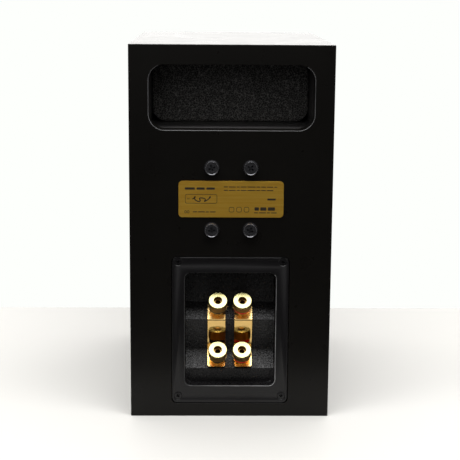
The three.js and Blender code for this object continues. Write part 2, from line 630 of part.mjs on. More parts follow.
// ---------------------------------------------------------------- crossover and internal leads
function crossover() {
  const face = DIVIDER.frontY + DIVIDER.thick;
  const boardFace = face + 1.6;
  add("crossover_board", block(-45, 45, face, boardFace, 70, 190), CIRCUIT_BOARD);
  const coil = [[8, boardFace], [20, boardFace], [20, boardFace + 18], [8, boardFace + 18]];
  add("bass_inductor", turned(coil, 20), COPPER).position.set(-20, 0, 100);
  const capacitor = rod(10, -19, 19, 16).rotateZ(Math.PI / 2);
  add("treble_capacitor", capacitor, CAPACITOR_SLEEVE).position.set(10, boardFace + 10 + FIT, 160);

  const radius = 1.6;
  add("woofer_lead", lead([
    [14, 7, 84], [14, 12, 78], [14, 12, 58], [15, 2, 42], [22, -24, 36], [32, -50, 44], [34.8, -73, 60.3],
  ], radius, 16), WIRE);
  add("tweeter_lead", lead([
    [-38, 7, 84], [-38, 12, 78], [-38, 12, 58], [-40, 0, 42], [-48, -26, 50], [-56, -46, 110],
    [-50, -60, 165], [-28, -70, 205], [-14, -78, 222],
  ], radius, 22), WIRE);
  add("terminal_lead", lead([
    [9.5, 93.1, 72.1], [9.5, 86, 65], [6, 66, 54], [2, 40, 50], [0, 22, 64], [0, 14, 80], [0, 6.8, 84],
  ], radius, 16), WIRE);
}

cabinet();
transmissionLine();
rearFittings();
terminalPanel();
bindingPosts();
jumpers();
woofer();
tweeter();
crossover();

export default speaker;
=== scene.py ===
"""Studio view of a two-way bookshelf speaker seen from behind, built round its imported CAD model.

Lengths are in metres. +Z is up, -Y is the speaker's front, +Y its rear, and the surface that it
stands on is z = 0. Every mesh is made in place, so that object coordinates are the row frame's.
"""

import math

import bmesh
import bpy
from mathutils import Matrix, Vector, noise
from mathutils.geometry import tessellate_polygon
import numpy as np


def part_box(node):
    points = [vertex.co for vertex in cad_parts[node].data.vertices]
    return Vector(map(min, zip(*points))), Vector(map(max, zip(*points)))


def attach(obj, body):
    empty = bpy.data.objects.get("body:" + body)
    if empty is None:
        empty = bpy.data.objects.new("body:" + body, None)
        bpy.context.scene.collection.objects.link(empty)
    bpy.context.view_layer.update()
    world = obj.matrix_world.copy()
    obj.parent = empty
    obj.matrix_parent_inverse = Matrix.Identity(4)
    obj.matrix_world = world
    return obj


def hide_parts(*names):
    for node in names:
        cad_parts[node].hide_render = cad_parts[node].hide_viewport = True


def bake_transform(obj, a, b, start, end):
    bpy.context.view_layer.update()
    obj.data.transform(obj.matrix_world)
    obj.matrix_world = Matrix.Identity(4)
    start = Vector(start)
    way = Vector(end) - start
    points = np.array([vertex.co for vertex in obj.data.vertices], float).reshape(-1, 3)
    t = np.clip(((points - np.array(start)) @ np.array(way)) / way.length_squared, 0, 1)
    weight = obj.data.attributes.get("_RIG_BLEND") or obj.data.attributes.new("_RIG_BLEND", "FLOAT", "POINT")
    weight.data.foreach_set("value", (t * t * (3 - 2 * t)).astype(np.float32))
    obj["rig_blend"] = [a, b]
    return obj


MM = 0.001
HOLD = 0.08 * MM  # width of the strip beside a rounded edge that keeps a flat face's shading flat
SHARP = math.radians(35)

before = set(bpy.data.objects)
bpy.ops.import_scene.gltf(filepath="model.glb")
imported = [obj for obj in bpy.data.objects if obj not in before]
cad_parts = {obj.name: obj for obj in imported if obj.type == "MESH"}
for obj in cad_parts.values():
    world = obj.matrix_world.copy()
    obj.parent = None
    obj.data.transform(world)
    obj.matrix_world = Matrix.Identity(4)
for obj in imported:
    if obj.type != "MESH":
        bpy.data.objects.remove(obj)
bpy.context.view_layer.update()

# ---- places taken from the frame
REAR_LOW, REAR_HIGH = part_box("rear_panel")
BAFFLE_LOW, BAFFLE_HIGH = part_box("front_baffle")
WIDTH = REAR_HIGH.x - REAR_LOW.x
HEIGHT = REAR_HIGH.z
REAR_Y, REAR_INNER_Y = REAR_HIGH.y, REAR_LOW.y
FRONT_Y, BAFFLE_INNER_Y = BAFFLE_LOW.y, BAFFLE_HIGH.y
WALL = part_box("bottom_panel")[1].z
SHELF_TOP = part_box("vent_shelf")[1].z


def middle(node):
    low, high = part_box(node)
    return (low + high) / 2


def middle_xz(node):
    place = middle(node)
    return place.x, place.z


# ---- outlines
def millimetres(*points):
    return [(r * MM, h * MM) for r, h in points]


def arc(centre, radius, start, end, steps):
    """Points along an arc between two angles in degrees."""
    angles = [math.radians(start + (end - start) * k / steps) for k in range(steps + 1)]
    return [(centre[0] + radius * math.cos(a), centre[1] + radius * math.sin(a)) for a in angles]


def box_outline(node, corner, steps=8, gap=0.0):
    """The rounded outline of a node's box as seen along Y, with a gap round it."""
    low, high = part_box(node)
    size = (high.x - low.x + 2 * gap, high.z - low.z + 2 * gap)
    return rounded_rectangle(middle_xz(node), *size, corner, steps)


def rounded_rectangle(centre, width, height, corner, steps=8):
    """A function of grow: the closed outline, moved outwards by grow with as many points."""

    def outline(grow=0.0):
        radius = max(corner + grow, 0.005 * MM)
        x, z = width / 2 + grow - radius, height / 2 + grow - radius
        points = []
        for turn, (sx, sz) in enumerate([(1, 1), (-1, 1), (-1, -1), (1, -1)]):
            place = (centre[0] + sx * x, centre[1] + sz * z)
            points += arc(place, radius, 90 * turn, 90 * turn + 90, steps)
        return points

    return outline


def circle(centre, radius, steps=64):
    """A function of grow, as rounded_rectangle is."""
    return lambda grow=0.0: arc(centre, radius + grow, 0, 360, steps)[:-1]


def softened(points, radii, steps=4, closed=True):
    """The outline with its corners rounded, by one radius in millimetres for each point."""
    count = len(points)
    out = []
    for i, (point, r) in enumerate(zip(points, radii)):
        if r == 0 or (not closed and i in (0, count - 1)):
            out.append(point)
            continue
        p = Vector(point)
        back, on = Vector(points[i - 1]) - p, Vector(points[(i + 1) % count]) - p
        room = 0.48 * min(back.length, on.length)
        back.normalize()
        on.normalize()
        half = back.angle(on) / 2
        if half > math.radians(89):
            out.append(point)
            continue
        along = min(r * MM / math.tan(half), room)
        r = along * math.tan(half)
        centre = p + (back + on).normalized() * (r / math.sin(half))
        start = p + back * along - centre
        turn = start.angle_signed(p + on * along - centre)
        hold = min(HOLD, room - along)
        if hold > 0:
            out.append(tuple(p + back * (along + hold)))
        for k in range(steps + 1):
            a = -turn * k / steps
            c, s = math.cos(a), math.sin(a)
            out.append((centre.x + start.x * c - start.y * s, centre.y + start.x * s + start.y * c))
        if hold > 0:
            out.append(tuple(p + on * (along + hold)))
    return out


# ---- meshes
def quads(a, b, count, closed=True):
    """Faces between two rows of count points that begin at the vertices a and b."""
    last = count if closed else count - 1
    return [(a + i, a + (i + 1) % count, b + (i + 1) % count, b + i) for i in range(last)]


def add_mesh(name, vertices, faces, marks=None, sharp=SHARP):
    """A closed mesh made from faces; marks gives a material slot for each face."""
    mesh = bpy.data.meshes.new(name)
    mesh.from_pydata([tuple(v) for v in vertices], [], faces)
    if marks:
        mesh.polygons.foreach_set("material_index", marks)
    work = bmesh.new()
    work.from_mesh(mesh)
    bmesh.ops.remove_doubles(work, verts=work.verts, dist=1e-6)
    bmesh.ops.dissolve_degenerate(work, edges=work.edges, dist=1e-7)
    bmesh.ops.recalc_face_normals(work, faces=work.faces)
    work.to_mesh(mesh)
    work.free()
    mesh.shade_smooth()
    mesh.set_sharp_from_angle(angle=sharp)
    piece = bpy.data.objects.new(name, mesh)
    bpy.context.scene.collection.objects.link(piece)
    return piece


def merged(name, *parts):
    """One object out of several separate closed shells."""
    work = bmesh.new()
    for part in parts:
        work.from_mesh(part.data)
        bpy.data.objects.remove(part)
    mesh = bpy.data.meshes.new(name)
    work.to_mesh(mesh)
    work.free()
    piece = bpy.data.objects.new(name, mesh)
    bpy.context.scene.collection.objects.link(piece)
    return piece


def turned(name, outline, segments, place, ripple=None, marks=None):
    """Turns a closed (radius, height) outline about the Z axis of the matrix place. ripple gives a
    radius from (radius, height, angle), and marks a material slot for each stretch of the outline."""
    count = len(outline)
    vertices, faces, slots = [], [], []
    for i in range(segments):
        angle = 2 * math.pi * i / segments
        for radius, height in outline:
            r = ripple(radius, height, angle) if ripple else radius
            vertices.append(place @ Vector((r * math.cos(angle), r * math.sin(angle), height)))
    for i in range(segments):
        here, there = i * count, (i + 1) % segments * count
        for j in range(count):
            k = (j + 1) % count
            if outline[j][0] == 0 and outline[k][0] == 0:
                continue
            faces.append((here + j, there + j, there + k, here + k))
            slots.append(marks[j] if marks else 0)
    return add_mesh(name, vertices, faces, slots)


RIM_STEPS = 5
RIM_RINGS = RIM_STEPS + 2  # rings of a rim that are on its roll or beyond it


def rim(outline, back, face, radius, out, steps=RIM_STEPS):
    """Rings from the plane y = back that roll an edge over onto y = face. out is -1 on an outside
    edge and 1 round a hole."""
    side = math.copysign(1, face - back)
    rings = [(outline(0), back), (outline(0), face - side * (radius + HOLD))]
    for k in range(steps + 1):
        a = math.pi / 2 * k / steps
        grown = out * radius * (1 - math.cos(a))
        rings.append((outline(grown), face - side * radius * (1 - math.sin(a))))
    return rings + [(outline(out * (radius + HOLD)), face)]


def plate(name, loops, highlit_rims=()):
    """A slab square to Y. Each loop is a list of (outline, y) rings from the back face to the front
    face: the outside first, then the holes. Loops counted in the last argument have slot 1 on their
    rim, a painted highlight, except along its top, which faces down, away from the overhead light."""
    vertices, faces, slots = [], [], []
    fronts, backs = [], []
    for number, rings in enumerate(loops):
        count, base = len(rings[0][0]), len(vertices)
        for outline, y in rings:
            vertices += [(x, y, z) for x, z in outline]
        # Slot 1 on a rim is a painted highlight; the rim's top stretch, which faces down, away from the
        # overhead light, keeps slot 0.
        top = max(z for _, z in rings[0][0]) - 1.2 * MM
        for k in range(len(rings) - 1):
            a = base + k * count
            on_rim = number in highlit_rims and k >= len(rings) - RIM_RINGS
            faces += quads(a, a + count, count)
            slots += [int(on_rim and z < top) for _, z in rings[0][0]]
        backs.append((rings[0][0], base))
        fronts.append((rings[-1][0], base + (len(rings) - 1) * count))
    for face in (fronts, backs):
        index = [start + i for outline, start in face for i in range(len(outline))]
        lines = [[Vector((x, z, 0)) for x, z in outline] for outline, _ in face]
        faces += [tuple(index[i] for i in triangle) for triangle in tessellate_polygon(lines)]
    slots += [0] * (len(faces) - len(slots))
    return add_mesh(name, vertices, faces, slots)


def extruded(name, outline, place, length, sharp=SHARP):
    """A closed (u, v) outline drawn along w. place gives the row frame's point for (u, v, w)."""
    count = len(outline)
    vertices = [place(u, v, w) for w in (0, length) for u, v in outline]
    faces = quads(0, count, count) + [tuple(range(count)), tuple(range(count, 2 * count))]
    return add_mesh(name, vertices, faces, sharp=sharp)


def settle(piece, marked=False):
    """Applies the piece's modifiers, and marks its sharp edges again unless they are marked."""
    bpy.context.view_layer.update()
    done = bpy.data.meshes.new_from_object(
        piece.evaluated_get(bpy.context.evaluated_depsgraph_get())
    )
    piece.modifiers.clear()
    piece.data = done
    if not marked:
        done.shade_smooth()
        done.set_sharp_from_angle(angle=SHARP)


def carved(piece, *cutters, operation="DIFFERENCE"):
    """Takes the cutters out of the piece. INTERSECT keeps only what is inside them."""
    for cutter in cutters:
        cut = piece.modifiers.new("cut", "BOOLEAN")
        cut.object, cut.operation, cut.solver = cutter, operation, "EXACT"
    settle(piece)
    for cutter in cutters:
        bpy.data.objects.remove(cutter)


def axes(origin, x, z):
    """A matrix whose Z axis is z and whose X axis is x, both unit and square to each other."""
    x, z = Vector(x), Vector(z)
    y = z.cross(x)
    return Matrix.Translation(origin) @ Matrix((x, y, z)).transposed().to_4x4()


def facing_rear(x, z, y=REAR_Y):
    """A place on the rear face, with its Z axis pointing out of it."""
    return axes((x, y, z), (-1, 0, 0), (0, 1, 0))


def facing_front(x, z, y=FRONT_Y):
    return axes((x, y, z), (1, 0, 0), (0, -1, 0))


# ---- materials
def add_node(tree, kind, **inputs):
    """A new node with a value or a link on each named input. Inputs a and b are its first two."""
    node = tree.nodes.new(f"ShaderNode{kind}")
    for name, value in inputs.items():
        socket = node.inputs[{"a": 0, "b": 1}.get(name, name)]
        if isinstance(value, bpy.types.NodeSocket):
            tree.links.new(value, socket)
        else:
            socket.default_value = value
    return node


def combine(tree, operation, a, b):
    node = add_node(tree, "Math", a=a, b=b)
    node.operation = operation
    return node.outputs["Value"]


class Surface:
    """A material with a Principled shader. Numbers that don't vary go on the shader's own sockets."""

    def __init__(self, name, color, roughness, metallic=0.0, **sockets):
        self.material = bpy.data.materials.new(name)
        self.material.use_nodes = True
        self.tree = self.material.node_tree
        self.shader = self.tree.nodes["Principled BSDF"]
        values = {"Base Color": (*color, 1), "Roughness": roughness, "Metallic": metallic, **sockets}
        for socket, value in values.items():
            self.shader.inputs[socket].default_value = value
        self.place = add_node(self.tree, "TexCoord").outputs["Object"]
        self.height = None

    def link(self, output, socket):
        self.tree.links.new(output, self.shader.inputs[socket])
        return self

    def color(self, fac, *stops):
        return self.link(self.ramp(fac, *stops), "Base Color")

    def roughness(self, fac, *stops):
        return self.link(self.ramp(fac, *stops), "Roughness")

    def stretched(self, x, y, z):
        return add_node(self.tree, "Mapping", Vector=self.place, Scale=(x, y, z)).outputs["Vector"]

    def noise(self, scale, detail=4.0, roughness=0.5, vector=None):
        inputs = {"Vector": vector or self.place, "Scale": scale, "Detail": detail}
        return add_node(self.tree, "TexNoise", Roughness=roughness, **inputs).outputs["Fac"]

    def cells(self, scale, feature="F1"):
        node = add_node(self.tree, "TexVoronoi", Vector=self.place, Scale=scale)
        node.feature = feature
        return node.outputs["Distance"]

    def waves(self, scale, direction):
        node = add_node(self.tree, "TexWave", Vector=self.place, Scale=scale)
        node.bands_direction = direction
        return node.outputs["Fac"]

    def across(self, start, end):
        """From 0 to 1 between two places along X."""
        x = add_node(self.tree, "SeparateXYZ", Vector=self.place).outputs["X"]
        limits = {"From Min": start, "From Max": end}
        return add_node(self.tree, "MapRange", Value=x, **limits).outputs["Result"]

    def ramp(self, fac, *stops):
        """A colour or a number for each (position, value) stop."""
        node = add_node(self.tree, "ValToRGB", Fac=fac)
        elements = node.color_ramp.elements
        while len(elements) < len(stops):
            elements.new(0.5)
        for element, (position, value) in zip(elements, stops):
            element.position = position
            element.color = (*value, 1) if isinstance(value, tuple) else (value, value, value, 1)
        return node.outputs["Color"]

    def math(self, operation, a, b):
        return combine(self.tree, operation, a, b)

    def bump(self, fac, distance):
        """Adds relief that is distance metres deep, on top of any that is there."""
        node = add_node(self.tree, "Bump", Height=fac, Distance=distance, Strength=1.0)
        if self.height:
            self.tree.links.new(self.height, node.inputs["Normal"])
        self.height = node.outputs["Normal"]
        return self.link(self.height, "Normal")


def lacquer():
    """Satin black lacquer on fibreboard, with soft blotches and the faintest orange peel."""
    s = Surface("satin_black_lacquer", (0.005, 0.0046, 0.004), 0.29, **{"Specular IOR Level": 0.15})
    s.color(s.noise(14, 3), (0.3, (0.0048, 0.0043, 0.0037)), (0.75, (0.0064, 0.0058, 0.005)))
    s.roughness(s.noise(60, 5), (0.3, 0.27), (0.7, 0.31))
    return s.bump(s.noise(500, 2), 0.0006 * MM).material


def painted_edge_highlight(name, dark, pale, highlight_fade_x=-1.0):
    """A painted highlight: an edge coloured pale in patches, fading out where X is near the given one."""
    s = Surface(name, pale, 0.35)
    beyond = s.across(highlight_fade_x, highlight_fade_x - math.copysign(45 * MM, highlight_fade_x))
    s.color(s.math("MULTIPLY", s.noise(45, 5, 0.6), beyond), (0.25, dark), (0.58, pale))
    return s.roughness(s.noise(200, 4), (0.3, 0.3), (0.7, 0.42)).material


def moulded_black(name, grain, tone, rough):
    """Injection-moulded plastic with a spark texture: fine pits and coarser, fainter mottling."""
    dark = tuple(tone * c for c in (0.0052, 0.0048, 0.0054))
    pale = tuple(tone * c for c in (0.0072, 0.0067, 0.0074))
    s = Surface(name, pale, 0.3, **{"Specular IOR Level": 0.3})
    s.roughness(s.noise(700, 3), (0.35, 0.3 - rough), (0.65, 0.3 + rough))
    s.color(s.noise(25, 3), (0.3, dark), (0.7, pale))
    s.bump(s.noise(650, 2), 2.4 * grain * MM)
    return s.bump(s.cells(1900), 0.5 * grain * MM).material


def brushed_brass():
    """Sheet brass brushed along X, with streaks of differing length and depth."""
    s = Surface("brushed_label_brass", (0.5, 0.33, 0.07), 0.36, 1.0)
    fine = s.noise(1, 3, 0.6, s.stretched(45, 1, 5200))
    broad = s.noise(1, 2, 0.5, s.stretched(14, 1, 700))
    streaks = s.math("ADD", s.math("MULTIPLY", fine, 0.6), s.math("MULTIPLY", broad, 0.4))
    s.color(streaks, (0.33, (0.72, 0.37, 0.038)), (0.66, (0.84, 0.55, 0.09)))
    s.roughness(fine, (0.3, 0.42), (0.7, 0.56))
    return s.bump(fine, 0.006 * MM).material


def foam():
    """Open-cell foam, dark, with painted light in its colour: shade in the cells, highlights speckled on the
    struts.
    """
    s = Surface("open_cell_foam", (0.03, 0.03, 0.028), 0.75)
    struts = s.cells(620, "DISTANCE_TO_EDGE")
    # Painted shade and highlight: the colour is dark in the cells and pale on the struts, in speckles.
    strut_light_and_cell_shade = s.ramp(struts, (0.02, 1.0), (0.16, 0.1))
    painted_glints = s.ramp(s.noise(850, 2), (0.4, 0.25), (0.68, 1.0))
    s.color(s.math("MULTIPLY", strut_light_and_cell_shade, painted_glints), (0.05, (0.02, 0.019, 0.018)), (0.9, (0.36, 0.35, 0.335)))
    s.roughness(s.noise(400, 3), (0.3, 0.62), (0.7, 0.9))
    return s.bump(struts, 0.35 * MM).material


def doped_cone():
    """Doped pulp: dark, with short fibres and a soft sheen."""
    s = Surface("doped_pulp_cone", (0.02, 0.02, 0.021), 0.55)
    fibres = s.noise(1, 5, 0.7, s.stretched(900, 900, 350))
    s.color(fibres, (0.35, (0.012, 0.012, 0.013)), (0.65, (0.034, 0.034, 0.035)))
    s.roughness(s.noise(150, 4), (0.3, 0.46), (0.7, 0.66))
    return s.bump(fibres, 0.05 * MM).material


def woven(name, color, dark, count, deep):
    """Cloth with count threads to the metre each way across X and Z."""
    s = Surface(name, color, 0.7, **{"Sheen Weight": 0.25})
    weave = s.math("MULTIPLY", s.waves(count / 20, "X"), s.waves(count / 20, "Z"))
    s.color(weave, (0.1, dark), (0.6, color))
    s.roughness(s.noise(300, 3), (0.3, 0.6), (0.7, 0.82))
    return s.bump(weave, deep).material


def winding():
    """Enamelled copper wire, wound round an axis along Y."""
    s = Surface("enamelled_copper_winding", (0.55, 0.2, 0.08), 0.3, 0.9)
    turns = s.waves(60, "Y")
    s.color(turns, (0.1, (0.22, 0.07, 0.03)), (0.6, (0.62, 0.24, 0.1)))
    return s.bump(turns, 0.2 * MM).material


def painted_casting():
    s = Surface("painted_alloy_casting", (0.02, 0.02, 0.021), 0.42, 0.3)
    s.roughness(s.noise(100, 4), (0.3, 0.36), (0.7, 0.5))
    s.color(s.noise(40, 3), (0.3, (0.016, 0.016, 0.017)), (0.7, (0.026, 0.026, 0.028)))
    return s.bump(s.cells(1500), 0.02 * MM).material


def plain(name, color, rough, relief=None, metallic=0.0):
    """A finish from at most three noises. Colour and roughness are each one value, or a noise and
    the two values that it wanders between. Relief is a noise and its depth in millimetres."""
    s = Surface(name, color[-1], rough[-1], metallic)
    for vary, values in ((s.color, color), (s.roughness, rough)):
        if len(values) > 1:
            noise, low, high = values
            vary(s.noise(*noise), (0.3, low), (0.7, high))
    if relief:
        noise, depth = relief
        s.bump(s.noise(*noise), depth * MM)
    return s.material


def gold(name, rough, color=(0.96, 0.67, 0.27)):
    """Gold plate over brass, with the faintest cloudiness."""
    dark = tuple(0.92 * c for c in color)
    return plain(name, ((260, 4), dark, color), ((500, 5), *rough), ((350, 2), 0.004), 1.0)


def black_steel(name, dark, pale):
    return plain(name, ((200, 3), dark, pale), ((300, 3), 0.22, 0.28), ((900, 2), 0.001), 0.9)


def band(name, dark, pale):
    """Coloured plastic of a post's marker band."""
    return plain(name, ((500, 3), dark, pale), ((900, 3), 0.25, 0.38))


LACQUER = lacquer()
# Painted highlight: a pale colour on the rim of the vent slot, standing in for light on its rounded edge.
LACQUER_EDGE_HIGHLIGHT = painted_edge_highlight("lacquer_painted_edge_highlight", (0.03, 0.03, 0.031), (0.15, 0.15, 0.155))
VENT_PAINT = plain("vent_channel_paint", ((0.09, 0.086, 0.087),), ((90, 4), 0.44, 0.58),
                   ((1500, 3), 0.02))
FIBREBOARD = plain("bare_fibreboard", ((400, 6, 0.7), (0.26, 0.17, 0.09), (0.4, 0.27, 0.15)), (0.9,),
                   ((1500, 4), 0.05))
FOAM = foam()
MOULDED = moulded_black("moulded_black_plastic", 0.02, 1.0, 0.02)
MOULDED_GRAINED = moulded_black("grained_black_plastic", 0.16, 1.2, 0.1)
# Painted highlight: a pale colour on the rim of the terminal cup's mouth, fading out towards +X.
MOULDED_EDGE_HIGHLIGHT = painted_edge_highlight("moulded_painted_edge_highlight", (0.04, 0.04, 0.041), (0.24, 0.24, 0.245), 46 * MM)
FACEPLATE = moulded_black("satin_faceplate", 0.02, 1.2, 0.04)
STEEL_BLACK = black_steel("black_zinc_steel", (0.1, 0.1, 0.108), (0.13, 0.13, 0.14))
STEEL_DULL = black_steel("dull_black_steel", (0.07, 0.07, 0.075), (0.1, 0.1, 0.105))
STEEL_BARE = plain("zinc_plated_steel", ((60, 4), (0.42, 0.42, 0.44), (0.58, 0.57, 0.56)),
                   ((200, 5), 0.26, 0.46), ((1200, 3), 0.01), 1.0)
GOLD = gold("polished_gold_plate", (0.07, 0.15))
GOLD_TURNED = gold("turned_gold_face", (0.24, 0.3), (0.4, 0.365, 0.175))
# Painted shade: a darker, browner gold inside the bores of the posts and nuts.
GOLD_BORE_SHADE = gold("gold_with_painted_bore_shade", (0.3, 0.4), (0.3, 0.16, 0.05))
# Painted shade: a darker gold on the reeded sides of the nuts.
GOLD_GRIP_SHADE = gold("reeded_gold_painted_shade", (0.3, 0.38), (0.5, 0.31, 0.11))
GOLD_SHEET = gold("gold_plated_sheet", (0.05, 0.11), (0.84, 0.56, 0.2))
GOLD_WORN = gold("handled_gold_sheet", (0.24, 0.32))
BAND_RED = band("red_band", (0.8, 0.012, 0.008), (0.95, 0.02, 0.012))
BAND_BLACK = band("black_band", (0.007, 0.007, 0.007), (0.012, 0.012, 0.012))
INK = plain("label_ink", ((1800, 4), (0.014, 0.01, 0.005), (0.035, 0.024, 0.009)),
            ((900, 3), 0.42, 0.6))
RUBBER = plain("black_rubber", ((50, 4), (0.009, 0.009, 0.009), (0.017, 0.017, 0.016)),
               ((120, 4), 0.42, 0.6), ((2200, 3), 0.01))
CONE = doped_cone()
CASTING = painted_casting()
FERRITE = plain("ferrite", ((600, 5, 0.7), (0.02, 0.02, 0.022), (0.05, 0.05, 0.052)), (0.75,),
                ((1500, 4), 0.03))
WINDING = winding()
LAMINATE = plain("lacquered_laminate", ((500, 4), (0.015, 0.09, 0.035), (0.03, 0.15, 0.06)), (0.35,),
                 ((1200, 3), 0.01))
FILM = plain("capacitor_film_sleeve", ((80, 4), (0.55, 0.4, 0.1), (0.7, 0.53, 0.16)), (0.28,),
             ((150, 3), 0.1))
JACKET = plain("wire_jacket", ((200, 4), (0.014, 0.013, 0.013), (0.03, 0.027, 0.027)), (0.45,),
               ((700, 3), 0.03))


def finished(piece, node, *materials, body="cabinet"):
    """The piece stands for a CAD node, wears these materials and rides on the body."""
    for material in materials:
        piece.data.materials.append(material)
    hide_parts(node)
    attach(piece, body)


# ---- camera, lights and stage
def camera():
    """From behind and a little above, with a long lens."""
    yaw, pitch, roll = [math.radians(angle) for angle in (1.0625, 11.368, 0.437)]
    away = 919.58 * MM  # from the rear face
    flat = math.cos(pitch)
    forward = Vector((-math.sin(yaw) * flat, -math.cos(yaw) * flat, -math.sin(pitch)))
    level = Vector((-math.cos(yaw), math.sin(yaw), 0))
    upward = level.cross(forward)
    right = math.cos(roll) * level + math.sin(roll) * upward
    up = math.cos(roll) * upward - math.sin(roll) * level
    data = bpy.data.cameras.new("camera")
    data.sensor_width, data.lens = 36, 95.99
    made = bpy.data.objects.new("camera", data)
    bpy.context.scene.collection.objects.link(made)
    turn = Matrix((right, up, -forward)).transposed().to_4x4()
    made.matrix_world = Matrix.Translation((17.7 * MM, REAR_Y + away, 334.51 * MM)) @ turn
    bpy.context.scene.camera = made


def softbox(name, place, target, size, power, color=(1, 1, 1)):
    data = bpy.data.lights.new(name, "AREA")
    data.shape, data.size, data.size_y = "RECTANGLE", *size
    data.energy, data.color = power, color
    light = bpy.data.objects.new(name, data)
    light.location = place
    light.rotation_mode = "QUATERNION"
    light.rotation_quaternion = (Vector(target) - Vector(place)).to_track_quat("-Z", "Y")
    bpy.context.scene.collection.objects.link(light)


def surroundings():
    """White surroundings that are bright behind the speaker and dim on the side of the camera. The
    camera itself sees them as plain white."""
    world = bpy.data.worlds.new("studio")
    bpy.context.scene.world = world
    world.use_nodes = True
    tree = world.node_tree
    tree.nodes.clear()
    place = add_node(tree, "TexCoord").outputs["Generated"]
    split = add_node(tree, "SeparateXYZ", Vector=place)

    def fade(axis, start, end, first, last):
        limits = {"From Min": start, "From Max": end, "To Min": first, "To Max": last}
        node = add_node(tree, "MapRange", Value=split.outputs[axis], **limits)
        node.interpolation_type = "SMOOTHSTEP"
        return node.outputs["Result"]

    glow = combine(tree, "MULTIPLY", fade("Y", -0.7, -0.1, 2.3, 0), fade("Z", 0.32, 0.6, 1, 0))
    ambient = combine(tree, "ADD", fade("Y", -0.4, 0.4, 0.5, 0.05), fade("Z", 0.05, 0.6, 0, 0.4))
    strength = combine(tree, "ADD", glow, ambient)
    around = add_node(tree, "Background", Color=(1, 0.99, 0.97, 1), Strength=strength)
    seen = add_node(tree, "Background", Color=(0.984, 1, 0.974, 1))
    mix = add_node(tree, "MixShader", Fac=add_node(tree, "LightPath").outputs["Is Camera Ray"])
    for socket, shader in zip(mix.inputs[1:], (around, seen)):
        tree.links.new(shader.outputs["Background"], socket)
    add_node(tree, "OutputWorld", Surface=mix.outputs["Shader"])


def studio():
    surroundings()
    softbox("overhead", (0, 0.6, 1.6), (0, 0.4, 0), (2.0, 0.6), 29)
    softbox("fill", (0.3, 2.2, 0.7), (0, 0.1, 0.15), (1.2, 0.8), 1.8)
    bpy.context.scene.view_settings.view_transform = "Standard"


def table():
    """The pale top that the speaker stands on, with its far edge a hand's breadth beyond it."""
    s = Surface("pale_table", (0.72, 0.71, 0.685), 0.6, **{"Specular IOR Level": 0.1})
    s.color(s.noise(3, 4), (0.3, (0.7, 0.692, 0.665)), (0.7, (0.725, 0.715, 0.695)))
    s.roughness(s.noise(12, 3), (0.3, 0.55), (0.7, 0.68))
    far, near, side, thick = FRONT_Y - 95 * MM, REAR_Y + 108 * MM, 2.4, 0.03
    outline = softened([(-side, far), (side, far), (side, near), (-side, near)], [20] * 4, 8)
    piece = extruded("table_top", outline, lambda u, v, w: (u, v, w - thick), thick)
    piece.data.materials.append(s.material)


# ---- cabinet
EDGE = 0.55 * MM  # rounding of the cabinet's outer edges
CABINET_OUTLINE = rounded_rectangle((0, HEIGHT / 2), WIDTH, HEIGHT, EDGE, 4)
VENT_CORNER = 12 * MM


def wrap_panels():
    """Bottom, sides and top, mitred where their rounded corners meet. Only the faces that look into
    the cabinet have slot 1, which is the vent channel's paint."""
    half, inside = WIDTH / 2, WIDTH / 2 - WALL
    inside_up = HEIGHT / 2 - WALL
    corners = [(-1, -1), (1, -1), (1, 1), (-1, 1)]

    def rounding(corner, start):
        centre = (corner[0] * (half - EDGE), HEIGHT / 2 + corner[1] * (HEIGHT / 2 - EDGE))
        return arc(centre, EDGE, start, start + 45, 3)

    def inner(corner):
        return corner[0] * inside, HEIGHT / 2 + corner[1] * inside_up

    for k, name in enumerate(["bottom_panel", "left_side_panel", "top_panel", "right_side_panel"]):
        first, last = corners[k], corners[(k + 1) % 4]
        begin, end = rounding(first, 225 + 90 * k), rounding(last, 270 + 90 * k)
        way = (Vector(end[0]) - Vector(begin[-1])).normalized() * HOLD
        holds = [tuple(Vector(begin[-1]) + way), tuple(Vector(end[0]) - way)]
        outline = begin + holds + end + [inner(last), inner(first)]
        length = REAR_INNER_Y - BAFFLE_INNER_Y
        panel = extruded(name + "_shell", outline, lambda u, v, w: (u, BAFFLE_INNER_Y + w, v), length)
        finished(panel, name, LACQUER, VENT_PAINT)
        for face in panel.data.polygons:
            across, up = abs(face.center.x), abs(face.center.z - HEIGHT / 2)
            face.material_index = int(across < inside + HOLD and up < inside_up + HOLD)


def rear_panel():
    """The rear panel with its vent slot, the terminal panel's rebate and the bracket screws' bores."""
    outside = rim(CABINET_OUTLINE, REAR_INNER_Y, REAR_Y, EDGE, -1)

    height = HEIGHT - WALL - SHELF_TOP
    slot = rounded_rectangle((0, SHELF_TOP + height / 2), WIDTH - 2 * WALL, height, VENT_CORNER, 12)
    vent = rim(slot, REAR_INNER_Y, REAR_Y, 0.36 * MM, 1)

    seat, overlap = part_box("terminal_gasket")[0].y, 3.3 * MM
    rebate = box_outline("terminal_gasket", 4.6 * MM, gap=1.1 * MM)
    cup = rounded_rectangle((0, CUP_MIDDLE), CUP_WIDTH + 2 * overlap, CUP_HEIGHT + 2 * overlap, MM)
    recess = [(cup(0), REAR_INNER_Y), (cup(0), seat)] + rim(rebate, seat, REAR_Y, 0.45 * MM, 1)

    bores = []
    for i in range(1, 5):
        hole = circle(middle_xz(f"bracket_screw_{i}"), 3.2 * MM, 24)
        bores.append([(hole(0), REAR_INNER_Y), (hole(0), REAR_Y)])
    # The vent slot's rim (loop 1) takes the painted highlight colour.
    panel = plate("rear_panel_face", [outside, vent, recess, *bores], highlit_rims=(1,))
    finished(panel, "rear_panel", LACQUER, LACQUER_EDGE_HIGHLIGHT)


